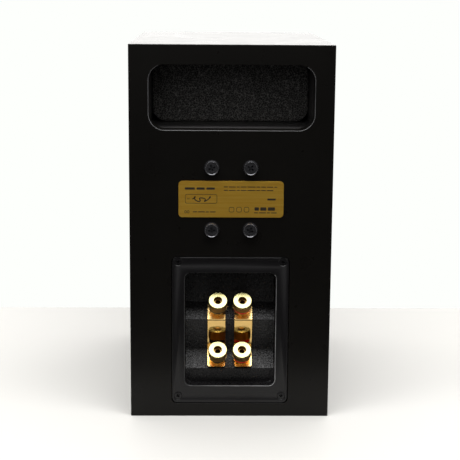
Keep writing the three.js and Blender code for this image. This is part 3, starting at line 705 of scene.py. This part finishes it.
def front_baffle():
    """The front baffle, with a stepped hole for each driver."""
    loops = [rim(CABINET_OUTLINE, BAFFLE_INNER_Y, FRONT_Y, EDGE, -1)]
    drivers = [("woofer_chassis", 64 * MM, 5 * MM, 96), ("tweeter_faceplate", 37.5 * MM, 4 * MM, 72)]
    for node, bore, deep, count in drivers:
        low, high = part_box(node)
        flange = (high.x - low.x) / 2 + 0.3 * MM
        seat = FRONT_Y + deep
        centre = (0, (low.z + high.z) / 2)
        through, rebate = circle(centre, bore, count), circle(centre, flange, count)
        steps = [(through(0), BAFFLE_INNER_Y), (through(0), seat)]
        loops.append(steps + rim(rebate, seat, FRONT_Y, 0.3 * MM, 1, 3))
    finished(plate("front_baffle_face", loops), "front_baffle", LACQUER)


def vent_foam():
    """A foam block whose face shows its open cells as shallow pits."""
    low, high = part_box("vent_foam")
    columns, rows = 150, 60
    vertices, faces = [], []
    for row in range(rows + 1):
        for column in range(columns + 1):
            x = low.x + (high.x - low.x) * column / columns
            z = low.z + (high.z - low.z) * row / rows
            inside = min(x - low.x, high.x - x, z - low.z, high.z - z)
            pit = abs(noise.noise(Vector((x, 0.3, z)) * 620)) * 1.1 * MM
            swell = 0.5 * MM * (1 + noise.noise(Vector((x, 7.1, z)) * 60))
            edge = 1.5 * MM * max(0, 1 - inside / (2 * MM)) ** 2
            vertices.append((x, high.y - pit - swell - edge, z))
    wide = columns + 1
    for row in range(rows):
        faces += quads(row * wide, (row + 1) * wide, wide, closed=False)
    border = [*range(columns), *range(columns, rows * wide, wide)]
    border += [rows * wide + column for column in range(columns, 0, -1)]
    border += [row * wide for row in range(rows, 0, -1)]
    base, count = len(vertices), len(border)
    vertices += [(vertices[i][0], low.y, vertices[i][2]) for i in border]
    for i in range(count):
        j = (i + 1) % count
        faces.append((border[i], border[j], base + j, base + i))
    faces.append(tuple(range(base, base + count)))
    block = add_mesh("vent_foam_block", vertices, faces, sharp=math.radians(80))
    keep = box_outline("vent_foam", VENT_CORNER, 10)
    deep = high.y - low.y + 2 * MM
    mould = extruded("mould", keep(0), lambda u, v, w: (u, low.y - MM + w, v), deep)
    carved(block, mould, operation="INTERSECT")
    finished(block, "vent_foam", FOAM)


# ---- label
def label():
    """The brass plate and what is printed on it."""
    low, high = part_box("rating_label_plate")
    centre = middle_xz("rating_label_plate")
    edge = rim(box_outline("rating_label_plate", 3 * MM, 10), low.y, high.y, 0.04 * MM, -1, 3)
    finished(plate("label_sheet", [edge]), "rating_label_plate", brushed_brass())
    ink = label_print(middle_xz("rating_label_plate"), high.y, 0.02 * MM)
    ink.data.materials.append(INK)
    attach(ink, "cabinet")


def label_print(centre, face, depth):
    """Bars and frames in the places of words and marks. Measures are in millimetres, right of and
    above the plate's middle as seen from behind."""
    shapes = [pen_stroke(centre, face, depth)]

    def printed(right, up, width, height, corner=0.2, line=None):
        """A filled patch, or with line a frame that is so wide."""
        place = (centre[0] - right * MM, centre[1] + up * MM)
        patch = rounded_rectangle(place, width * MM, height * MM, corner * MM, 5)
        loops = [patch(0)] + ([patch(-line * MM)] if line else [])
        shapes.append(plate("print", [[(loop, face), (loop, face + depth)] for loop in loops]))

    def small_print(up, start, end):
        """A row of dashes as long as words, in place of a line of text."""
        at = start
        for word in (3.1, 5.2, 2.3, 4.4, 6.1, 2.8, 3.6, 4.9, 2.2, 5.5, 3.3):
            width = min(word, end - at)
            if width > 0.8:
                printed(at + width / 2, up, width, 0.62, 0.15)
            at += word + 0.75

    for right, width in ((-31.4, 7.6), (-23.2, 6.2), (-15.6, 6.4)):
        printed(right, 8.2, width, 1.7, 0.5)
    printed(-22.8, 0.3, 24.4, 7.2, 1.4, 0.32)
    printed(-32.6, 0.2, 2.4, 0.35)
    for row in ((9.5, -5.6, 35.2), (6.9, -5.6, 32.4), (-9.8, -29, -11.4), (-10.4, 17.6, 34.8)):
        small_print(*row)
    for right in (0.4, 6.1, 11.8):
        printed(right, -8, 4.0, 4.0, 1.2, 0.36)
    for right, width in ((19.6, 3.4), (24.6, 4.6), (30.8, 5.4)):
        printed(right, -7.4, width, 2.6, 0.5)
    printed(30.8, 0, 6.4, 1.5, 0.4)
    for right in (-34.6, -32.6):
        printed(right, -9.8, 1.6, 2.2, 0.7, 0.35)

    return merged("label_print", *shapes)


def pen_stroke(centre, face, depth):
    """A wavy line such as a pen leaves, as a ribbon of four rails."""
    count, half = 61, 0.4 * MM
    pen = []
    for k in range(count):
        t = k / (count - 1)
        right = -29.5 + 14 * t + 1.1 * math.sin(t * 23)
        up = 2.0 * math.sin(t * 15) * (0.75 + 0.25 * math.sin(t * 9))
        pen.append(Vector((centre[0] - right * MM, centre[1] + up * MM)))
    sides = []
    for k, point in enumerate(pen):
        way = (pen[min(k + 1, count - 1)] - pen[max(k - 1, 0)]).normalized()
        sides.append(Vector((-way.y, way.x)) * half)
    rails = [p + side for p, side in zip(pen, sides)] + [p - side for p, side in zip(pen, sides)]
    vertices = [(p.x, y, p.y) for y in (face, face + depth) for p in rails]
    a, b, c, d = [count * rail for rail in range(4)]
    faces = [(a, b, d, c), tuple(rail + count - 1 for rail in (a, b, d, c))]
    for first, second in ((a, b), (c, d), (a, c), (b, d)):
        faces += quads(first, second, count, closed=False)
    return add_mesh("stroke", vertices, faces)


# ---- screws
def cross_cutter(place, span, width, depth):
    """A tapering cross, for the recess of a cross-head screw. Its open end is at the place."""

    def cross(scale):
        a, b = span / 2 * scale, width / 2 * (0.6 + 0.4 * scale)
        points = []
        for turn in range(4):
            c, s = math.cos(math.pi / 2 * turn), math.sin(math.pi / 2 * turn)
            points += [(x * c - y * s, x * s + y * c) for x, y in ((a, -b), (a, b), (b, b))]
        return points

    return stacked(place, [(cross(1.25), 0.35 * depth), (cross(1.0), 0.0), (cross(0.42), -depth)])


def hexagon_cutter(place, radius, depth):
    hexagon = arc((0, 0), radius, 0, 360, 6)[:-1]
    return stacked(place, [(hexagon, depth), (hexagon, -depth)])


def stacked(place, levels):
    """A cutter through (outline, height) levels with as many points each."""
    count = len(levels[0][0])
    vertices = [place @ Vector((x, y, z)) for outline, z in levels for x, y in outline]
    last = count * (len(levels) - 1)
    faces = [tuple(range(count)), tuple(range(last, last + count))]
    for base in range(0, last, count):
        faces += quads(base, base + count, count)
    return add_mesh("cutter", vertices, faces)


def turn_about(place, degrees):
    return place @ Matrix.Rotation(math.radians(degrees), 4, "Z")


def bracket_screws():
    """Pan-head screws, slightly dished, with a cross recess."""
    for i, angle in enumerate((20, 55, 5, 70), 1):
        node = f"bracket_screw_{i}"
        low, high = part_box(node)
        place = facing_rear(*middle_xz(node))
        top, shaft = (high.y - REAR_Y) / MM, (low.y - REAR_Y) / MM
        dish = top - 0.4
        outline = millimetres((0, shaft), (2.6, shaft), (3, shaft + 0.5), (3, 0), (6, 0), (6, 1.2),
                              (5.2, top), (4.9, top), (4.5, dish), (0, dish))
        radii = (0, 0, 0, 0, 0.2, 0.7, 0.3, 0.1, 0.25, 0)
        screw = turned(node + "_head", softened(outline, radii, 6), 64, place)
        mouth = turn_about(place @ Matrix.Translation((0, 0, dish * MM)), angle)
        carved(screw, cross_cutter(mouth, 5.4 * MM, 1.3 * MM, 2.4 * MM))
        finished(screw, node, STEEL_BLACK)


def terminal_screws():
    """Small black countersunk screws at the corners of the terminal panel."""
    outline = millimetres((0, -12), (0.6, -12), (1.4, -10.8), (1.4, -1.7), (3.1, -0.12),
                          (2.4, 0), (0, 0))
    line = softened(outline, (0, 0, 0, 0, 0.12, 0, 0))
    for i, angle in enumerate((12, 64, 33, 81), 1):
        node = f"terminal_screw_{i}"
        place = facing_rear(*middle_xz(node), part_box(node)[1].y)
        screw = turned(node + "_head", line, 40, place)
        carved(screw, cross_cutter(turn_about(place, angle), 2.9 * MM, 1.0 * MM, 1.8 * MM))
        finished(screw, node, MOULDED)


# ---- terminal panel
CUP_WIDTH, CUP_HEIGHT, CUP_CORNER = 70.5 * MM, 90.8 * MM, 5 * MM
CUP_BOTTOM = 25 * MM
CUP_MIDDLE = CUP_BOTTOM + CUP_HEIGHT / 2
CUP_TOP = CUP_BOTTOM + CUP_HEIGHT
FLANGE_BACK = REAR_Y - 3 * MM
SLOPE = math.sqrt(0.5)
LEDGE_Y = REAR_Y - 10 * MM  # the outer edge of a ledge
LEDGE_DROP = 17 * MM * SLOPE
LEDGES = {"lower": 36.1 * MM, "upper": 75.8 * MM}
POST_X = 9.5 * MM
POST_REACH = 7.25 * MM  # from a ledge's outer edge up its slope to a post


def cup_profile():
    """The cup's surface as (z, y) points from its floor up to its ceiling, with soft bends, and
    with a point at each height that its round corners need."""
    line = [(CUP_BOTTOM, LEDGE_Y)]
    for z in LEDGES.values():
        line += [(z, LEDGE_Y), (z + LEDGE_DROP, LEDGE_Y - LEDGE_DROP)]
    line.append((CUP_TOP, LEDGE_Y - LEDGE_DROP))
    profile = softened(line, (0, 0.7, 1.2, 0.7, 1.2, 0), 5, closed=False)
    for k in range(8):
        drop = CUP_CORNER * (1 - math.sin(math.pi / 2 * k / 8))
        for z in (CUP_BOTTOM + drop, CUP_TOP - drop):
            after = next((k for k, point in enumerate(profile) if point[0] > z + 1e-9), None)
            if after:
                (za, ya), (zb, yb) = profile[after - 1], profile[after]
                if z - za > 1e-7:
                    profile.insert(after, (z, ya + (yb - ya) * (z - za) / (zb - za)))
    return profile


def flange():
    """The panel's flange, with rolled rims and a countersink for each screw."""
    outside = rim(box_outline("terminal_panel", 4 * MM), FLANGE_BACK, REAR_Y, 0.5 * MM, -1)
    opening = rounded_rectangle((0, CUP_MIDDLE), CUP_WIDTH, CUP_HEIGHT, CUP_CORNER)
    mouth = rim(opening, FLANGE_BACK, REAR_Y, 0.4 * MM, 1)
    sinks = []
    for i in range(1, 5):
        hole = circle(middle_xz(f"terminal_screw_{i}"), 1.7 * MM, 32)
        steps = ((0, 3), (0, 2), (1.6, 0.15), (1.85, 0))
        sinks.append([(hole(grow * MM), REAR_Y - deep * MM) for grow, deep in steps])
    # The mouth's rim (loop 1) takes the painted highlight colour.
    return plate("flange", [outside, mouth, *sinks], highlit_rims=(1,))


def cup_section(z, y):
    """The (x, y) points across the cup at one height: from the flange in along the left wall, round
    the bend and along the back, to the right wall."""
    bend, steps = 1.2 * MM, 5
    over = max(0, CUP_BOTTOM + CUP_CORNER - z, z - (CUP_TOP - CUP_CORNER))
    x = CUP_WIDTH / 2 - CUP_CORNER + math.sqrt(max(0, CUP_CORNER ** 2 - over ** 2))
    side = [(x, FLANGE_BACK), (x, y + bend + HOLD)]
    for k in range(steps + 1):
        a = math.pi / 2 * k / steps
        side.append((x - bend * (1 - math.cos(a)), y + bend * (1 - math.sin(a))))
    side.append((x - bend - HOLD, y))
    return side + [(-px, py) for px, py in reversed(side)]


def cup():
    """The cup's inner skin, and a plain outer skin behind it."""
    wall = 3 * MM
    x = CUP_WIDTH / 2 + wall
    profile = cup_profile()
    outer = [[z, y - 1.35 * wall] for z, y in profile]
    outer[0][0] -= wall
    outer[-1][0] += wall
    inner_rows = [[(px, py, z) for px, py in cup_section(z, y)] for z, y in profile]
    outer_rows = [[(x, FLANGE_BACK, z), (x, y, z), (-x, y, z), (-x, FLANGE_BACK, z)] for z, y in outer]
    vertices, faces, edges = [], [], []
    for rows in (inner_rows, outer_rows):
        base, count, levels = len(vertices), len(rows[0]), len(rows)
        vertices += [point for row in rows for point in row]
        for a in range(base, base + count * (levels - 1), count):
            faces += quads(a, a + count, count, closed=False)
        last = base + count * (levels - 1)
        faces += [tuple(range(base, base + count)), tuple(range(last, last + count))]
        starts = [base + count * level for level in range(levels)]
        edges.append(starts + [start + count - 1 for start in reversed(starts)])
    lines = [[Vector((vertices[i][0], vertices[i][2], 0)) for i in edge] for edge in reversed(edges)]
    index = edges[1] + edges[0]
    faces += [tuple(index[i] for i in triangle) for triangle in tessellate_polygon(lines)]
    return add_mesh("cup", vertices, faces, [2] * len(faces))


def terminal_panel():
    """The flange with its rolled rims, and the stepped cup behind its opening."""
    piece = merged("terminal_panel_moulding", flange(), cup())
    finished(piece, "terminal_panel", MOULDED, MOULDED_EDGE_HIGHLIGHT, MOULDED_GRAINED)


# ---- binding posts
POSTS = ["upper_left", "upper_right", "lower_left", "lower_right"]
THREAD = 1 * MM
REEDS = 52


def post_place(name):
    """A post's frame: its base on the ledge, with Z along the post and Y up the ledge's slope."""
    level, side = name.split("_")
    x = POST_X if side == "left" else -POST_X
    reach = POST_REACH * SLOPE
    base = (x, LEDGE_Y - reach, LEDGES[level] + reach)
    return axes(base, (-1, 0, 0), (0, SLOPE, SLOPE))


def thread(radius, height, angle):
    """A right-handed thread on the stem."""
    if radius < 3.4 * MM or radius > 3.6 * MM or height < 2.9 * MM:
        return radius
    phase = (height / THREAD - angle / (2 * math.pi)) % 1
    return radius - 0.3 * MM * abs(2 * phase - 1)


def reeded(radius, height, angle):
    """Fine reeding round the grip of a thumb nut, short of its chamfer."""
    if radius < 7.39 * MM or height > 16.75 * MM:
        return radius
    return radius - 0.24 * MM * (0.5 - 0.5 * math.cos(REEDS * angle))


def stretches(outline, chosen):
    """1 for each stretch of a closed outline whose two ends are both chosen by (radius, height)."""
    return [int(chosen(*a) and chosen(*b)) for a, b in zip(outline, outline[1:] + outline[:1])]


def post_stem(name, place):
    """A threaded stem with its base flange, its tail and nut behind the panel, and its socket."""
    tip, bottom = 14.5, 2.5
    threaded = [(3.5, h / 5) for h in range(15, int(tip * 5) - 1)]
    outline = [(0, -12), (3.3, -12), (3.5, -11.5), (3.5, -5.8), (4.9, -5.8), (4.9, -3.3), (3.5, -3.3)]
    outline += [(3.5, 0.3), (6.05, 0.3), (6.2, 0.45), (6.2, 1.15), (6.05, 1.3), (3.5, 1.3), *threaded]
    outline += [(3.5, tip - 0.5), (3.1, tip), (2.15, tip), (2, tip - 0.2), (2, bottom), (0, bottom)]
    line = millimetres(*outline)
    # The thread and the socket take the darker gold that is painted shade.
    inside = stretches(line, lambda r, h: r < 3.6 * MM and h > 2 * MM)
    piece = turned(f"binding_post_{name}_stem", line, 40, place, thread, inside)
    finished(piece, f"binding_post_{name}", GOLD, GOLD_BORE_SHADE)


def clamp_collar(name, place):
    """The collar that clamps a cable, with its coloured band."""
    outline = millimetres((3.75, 3.1), (4.9, 3.1), (4.9, 6.9), (6.9, 6.9), (6.9, 8.1), (6.9, 9.6),
                          (4.45, 9.6), (4.45, 4.6), (3.75, 4.6))
    line = softened(outline, (0.1, 0.3, 0.15, 0.3, 0, 0.35, 0.1, 0, 0))
    banded = stretches(line, lambda r, h: h > 8.09 * MM)
    piece = turned(f"clamp_collar_{name}_ring", line, 96, place, marks=banded)
    color = BAND_BLACK if name.endswith("left") else BAND_RED
    finished(piece, f"clamp_collar_{name}", GOLD, color, body=f"collar_{name}")


def thumb_nut(name, place):
    """The reeded nut, with the threaded sleeve that runs inside its collar."""
    outline = millimetres((3.8, 4.9), (4.2, 4.9), (4.2, 9.9), (6.9, 9.9), (7.4, 10.4), (7.4, 16.7),
                          (7.4, 17), (6.9, 17.5), (3.4, 17.5), (3.1, 17.1), (3.1, 15), (3.8, 15))
    line = softened(outline, (0.1, 0.1, 0, 0.2, 0.2, 0, 0.08, 0.08, 0, 0, 0, 0))
    end_face = stretches(line, lambda r, h: h > 17 * MM and r > 3.39 * MM)
    # The bore takes the darker gold that is painted shade.
    bore = stretches(line, lambda r, h: r < 4 * MM)
    # The reeded sides take the darker gold that is painted shade.
    grip = stretches(line, lambda r, h: r > 7.35 * MM and h < 17 * MM)
    marks = [f + 2 * b + 3 * g for f, b, g in zip(end_face, bore, grip)]
    piece = turned(f"thumb_nut_{name}_grip", line, 6 * REEDS, place, reeded, marks)
    finished(piece, f"thumb_nut_{name}", GOLD, GOLD_TURNED, GOLD_BORE_SHADE, GOLD_GRIP_SHADE, body=f"nut_{name}")


def binding_posts():
    for name in POSTS:
        place = post_place(name)
        post_stem(name, place)
        clamp_collar(name, place)
        thumb_nut(name, place)


# ---- link plates
def offset(line, distance):
    """An open line moved sideways by distance, to the left of its way."""
    normals = []
    for a, b in zip(line, line[1:]):
        way = (Vector(b) - Vector(a)).normalized()
        normals.append(Vector((-way.y, way.x)))
    out = []
    for point, before, after in zip(line, normals[:1] + normals, normals + normals[-1:]):
        mean = (before + after).normalized()
        out.append(tuple(Vector(point) + mean * (distance / mean.dot(after))))
    return out


STRAP_WIDTH, STRAP_THICK, STRAP_LIFT = 14.1 * MM, 1.2 * MM, 1.6 * MM
STRAP_INNER_X = 3.45 * MM
STRAP_TOP = 13.5 * MM  # up the slope from the upper ledge's outer edge


def strap_cutters(level, sign):
    """The cutters at one post: its hole, the slot that opens the hole towards the middle, and the
    rounding of the strap's two corners beyond it. sign is 1 on the left and -1 on the right."""
    place = post_place(f"{level}_{'left' if sign > 0 else 'right'}")
    gap, reach, deep = 3.8 * MM, 12 * MM, 4 * MM

    def through(u, v, w):
        return place @ Vector((u, v, w))

    cutters = [turned("cutter", [(0, 0), (gap, 0), (gap, deep), (0, deep)], 48, place)]
    slot = [(0, -gap), (sign * reach, -gap), (sign * reach, gap), (0, gap)]
    cutters.append(extruded("cutter", slot, through, deep))
    r, out = 1.8 * MM, 1 * MM
    bite = [(-out, -out), (r, -out)] + arc((r, r), r, 270, 180, 6) + [(-out, r)]
    end, up = (STRAP_TOP - POST_REACH, 1) if level == "upper" else (-POST_REACH, -1)
    outer, inner = STRAP_INNER_X + STRAP_WIDTH - POST_X, POST_X - STRAP_INNER_X
    for x, way in ((-sign * outer, -sign), (sign * inner, sign)):
        corner = [(x - way * u, end - up * v) for u, v in bite]
        cutters.append(extruded("cutter", corner, through, deep))
    return cutters


def jumpers():
    """The two bent link plates, polished on the upright and rubbed dull on the two legs."""
    top = STRAP_TOP * SLOPE
    surface = [
        (LEDGE_Y - top, LEDGES["upper"] + top),
        (LEDGE_Y, LEDGES["upper"]),
        (LEDGE_Y - LEDGE_DROP, LEDGES["lower"] + LEDGE_DROP),
        (LEDGE_Y, LEDGES["lower"]),
    ]
    near, far = offset(surface, STRAP_LIFT), offset(surface, STRAP_LIFT + STRAP_THICK)
    outline = softened(near + far[::-1], (0, 0.4, 1.6, 0, 0, 0.4, 1.6, 0), 6)
    for side, sign in (("left", 1), ("right", -1)):
        start = STRAP_INNER_X if sign > 0 else -STRAP_INNER_X - STRAP_WIDTH
        strap = extruded(f"jumper_{side}_strap", outline, lambda u, v, w: (start + w, u, v), STRAP_WIDTH)
        carved(strap, *strap_cutters("upper", sign), *strap_cutters("lower", sign))
        bevel = strap.modifiers.new("edges", "BEVEL")
        bevel.width, bevel.segments, bevel.limit_method = 0.16 * MM, 2, "ANGLE"
        bevel.angle_limit = math.radians(50)
        flat = strap.modifiers.new("flat", "WEIGHTED_NORMAL")
        flat.keep_sharp = True
        settle(strap, marked=True)
        finished(strap, f"jumper_{side}", GOLD_SHEET, GOLD_WORN, body=f"jumper_{side}")
        for face in strap.data.polygons:
            face.material_index = int(face.normal.dot((0, SLOPE, SLOPE)) > 0.95)


# ---- drivers
def driver_lines(*points):
    """(radius, y) points in millimetres, as a driver's own (radius, height) in metres."""
    return [(r * MM, -y * MM) for r, y in points]


def driver_place(node):
    return axes((0, 0, middle(node).z), (1, 0, 0), (0, -1, 0))


def screw_spots(radius, count, first):
    """Points evenly spaced round a driver, from an angle in degrees."""
    return arc((0, 0), radius, first, first + 360, count)[:-1]


WOOFER_SPOTS = screw_spots(68.8 * MM, 4, 45)
TWEETER_SPOTS = screw_spots(44 * MM, 3, 90)


def bores(place, spots, head, shank, seat, back):
    """Cutters for stepped holes at the spots. seat and back are places along Y in millimetres."""
    line = driver_lines((0, -118), (head, -118), (head, seat), (shank, seat), (shank, back), (0, back))
    return [turned("cutter", line, 40, place @ Matrix.Translation((*spot, 0))) for spot in spots]


def front_screws(prefix, spots, place_z, head, face, turns):
    """Socket-cap screws round a driver, sunk by face."""
    outline = millimetres((0, -17), (1.6, -17), (2, -16.4), (2, -2.3), (head, -2.3), (head, 0), (0, 0))
    line = softened(outline, (0, 0, 0, 0, 0.15, 0.45, 0))
    for i, ((x, z), turn) in enumerate(zip(spots, turns), 1):
        place = facing_front(x, place_z + z, FRONT_Y + face)
        screw = turned(f"{prefix}_{i}_head", line, 48, place)
        carved(screw, hexagon_cutter(turn_about(place, turn), 1.75 * MM, 1.5 * MM))
        finished(screw, f"{prefix}_{i}", STEEL_BLACK)


WOOFER_SEAT = -113.6  # where the surround is glued to the chassis, along Y in millimetres


def woofer_chassis(place):
    """A cast basket with a flange, six windows and four screw holes."""
    outline = driver_lines((58, WOOFER_SEAT), (64.5, WOOFER_SEAT), (64.5, -117), (73, -117), (73, -112),
                           (63.5, -112), (49.5, -80), (45, -66), (20, -66), (20, -69), (42, -69),
                           (42, -82), (47, -82), (58, -112))
    radii = (0.2, 0.3, 0.35, 0.7, 0.1, 0.5, 1, 1, 0.2, 0.2, 0.5, 0.3, 0.5, 0.5)
    basket = turned("woofer_chassis_casting", softened(outline, radii), 128, place)
    window = softened(millimetres((-15, 86), (15, 86), (15, 108), (-15, 108)), [3] * 4)
    cutters = []
    for i in range(6):
        turn = turn_about(place, 60 * i)
        slab = extruded("cutter", window, lambda u, v, w: turn @ Vector((u, 40 * MM + w, v)), 30 * MM)
        cutters.append(slab)
    carved(basket, *cutters, *bores(place, WOOFER_SPOTS, 3.7, 2.4, -114, -111))
    finished(basket, "woofer_chassis", CASTING)


def woofer_cone(place):
    """The flared cone and the dust cap in its middle."""
    neck, edge, skin = (13.6, -91), (49, WOOFER_SEAT + 0.3), 0.9
    front = []
    for i in range(25):
        t = i / 24
        flare = 1.25 * t - 0.25 * t * t
        front.append((neck[0] + (edge[0] - neck[0]) * t, neck[1] + (edge[1] - neck[1]) * flare))
    cone = front + [(52, edge[1]), (52, edge[1] + skin)] + [(r, y + skin) for r, y in reversed(front)]
    piece = turned("woofer_cone_body", driver_lines(*cone), 128, place)
    finished(piece, "woofer_cone", CONE, body="woofer_moving_group")

    base = -95.1

    def crown(radius, height):
        return [(radius * t / 16, base - height * (1 - (t / 16) ** 2)) for t in range(17)]

    cap = driver_lines(*crown(18, 6.5), *reversed(crown(17.2, 5.7)))
    piece = turned("woofer_dust_cap_shell", cap, 96, place)
    finished(piece, "woofer_dust_cap", RUBBER, body="woofer_moving_group")


def woofer_surround(place):
    """The half-roll that carries the cone's edge."""
    centre, lip = 55.7, 0.8

    def roll(radius, drop=0.0):
        angles = [math.pi * (1 - i / 16) for i in range(17)]
        rise = WOOFER_SEAT - lip + drop
        return [(centre + radius * math.cos(a), rise - radius * math.sin(a)) for a in angles]

    outline = [(48.5, WOOFER_SEAT - lip), *roll(4.25), (64.2, WOOFER_SEAT - lip), (64.2, WOOFER_SEAT)]
    outline += [*reversed(roll(4.25 - lip, lip)), (48.5, WOOFER_SEAT)]
    piece = turned("woofer_surround_roll", driver_lines(*outline), 128, place)
    stretched_between(piece, place, 51.2 * MM, 60.2 * MM, "woofer_surround", RUBBER)


def woofer_spider(place):
    """The corrugated cloth disc that centres the coil."""

    def folds(side):
        steps = [i / 48 for i in range(49)]
        return [(14.5 + 26.5 * t, -83.4 - 0.9 * math.cos(6 * math.pi * t) + side * 0.3) for t in steps]

    outline = [(13.35, -83.7), *folds(-1), (46, -82.8), (46, -82.2), *reversed(folds(1)), (13.35, -83.1)]
    piece = turned("woofer_spider_disc", driver_lines(*outline), 96, place)
    cloth = woven("spider_cloth", (0.45, 0.32, 0.13), (0.3, 0.2, 0.07), 2400, 0.08 * MM)
    stretched_between(piece, place, 14.5 * MM, 41 * MM, "woofer_spider", cloth)


def stretched_between(piece, place, inside, outside, node, material):
    """The piece stands for a node, and follows the cone inside one radius and the cabinet outside
    another."""
    centre_z = place.translation.z
    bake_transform(piece, "cabinet", "woofer_moving_group", start=(0, 0, centre_z), end=(0, FRONT_Y, centre_z))
    weights = piece.data.attributes["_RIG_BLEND"].data
    for vertex, weight in zip(piece.data.vertices, weights):
        radius = math.hypot(vertex.co.x, vertex.co.z - centre_z)
        share = min(1, max(0, (outside - radius) / (outside - inside)))
        weight.value = share * share * (3 - 2 * share)
    piece.data.materials.append(material)
    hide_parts(node)


def woofer():
    place = driver_place("woofer_chassis")
    woofer_chassis(place)
    woofer_cone(place)
    woofer_surround(place)
    woofer_spider(place)
    front_screws("woofer_screw", WOOFER_SPOTS, place.translation.z, 3.4, 0.5 * MM, (10, 37, 51, 22))


def tweeter_dome(place, back):
    """The cloth dome with its roll, and the coil former behind it."""
    radius, skin, base, height, roll_radius = 13.6, 0.4, back - 0.9, 4.1, 1.45

    def dome(inset):
        angles = [math.pi / 2 * i / 16 for i in range(17)]
        return [((radius - inset) * math.sin(a), base - (height - inset) * math.cos(a)) for a in angles]

    def roll(r):
        angles = [math.pi * (1 - i / 12) for i in range(13)]
        return [(radius + roll_radius + r * math.cos(a), base + 0.2 - r * math.sin(a)) for a in angles]

    outline = [*dome(0), *roll(roll_radius)[1:], *reversed(roll(roll_radius - skin))]
    outline += [(radius + skin, -109), (radius - skin, -109), *reversed(dome(skin))]
    piece = turned("tweeter_dome_cloth", driver_lines(*outline), 96, place)
    cloth = woven("coated_dome_cloth", (0.022, 0.022, 0.026), (0.01, 0.01, 0.012), 3000, 0.02 * MM)
    finished(piece, "tweeter_dome", cloth, body="tweeter_diaphragm")


def tweeter():
    """The faceplate with its shallow horn, the dome and the screws."""
    place = driver_place("tweeter_faceplate")
    back = -113
    outline = driver_lines((17.2, back), (17.2, -114.4), (20, -115.2), (27, -116.5), (33, -117),
                           (52, -117), (52, back))
    line = softened(outline, (0, 0.3, 6, 12, 5, 0.5, 0.1), 6)
    face = turned("tweeter_faceplate_disc", line, 128, place)
    carved(face, *bores(place, TWEETER_SPOTS, 3.6, 2.2, -114.5, -112))
    finished(face, "tweeter_faceplate", FACEPLATE)
    tweeter_dome(place, back)
    front_screws("tweeter_screw", TWEETER_SPOTS, place.translation.z, 3.3, 0.3 * MM, (4, 33, 48))


# ---- pieces kept from the CAD model
def kept():
    """Finishes for the pieces whose CAD shape is used as it is."""
    finishes = {
        "vent_shelf": VENT_PAINT,
        "line_divider": FIBREBOARD,
        "line_damping_foam": FOAM,
        "terminal_gasket": RUBBER,
        "woofer_top_plate": STEEL_BARE,
        "woofer_yoke": STEEL_BARE,
        "woofer_magnet": FERRITE,
        "woofer_voice_coil": WINDING,
        "tweeter_motor": STEEL_DULL,
        "crossover_board": LAMINATE,
        "bass_inductor": WINDING,
        "treble_capacitor": FILM,
        "woofer_lead": JACKET,
        "tweeter_lead": JACKET,
        "terminal_lead": JACKET,
    }
    for node, material in finishes.items():
        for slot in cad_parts[node].material_slots:
            slot.material = material


camera()
studio()
table()
wrap_panels()
rear_panel()
front_baffle()
vent_foam()
label()
bracket_screws()
terminal_screws()
terminal_panel()
binding_posts()
jumpers()
woofer()
tweeter()
kept()
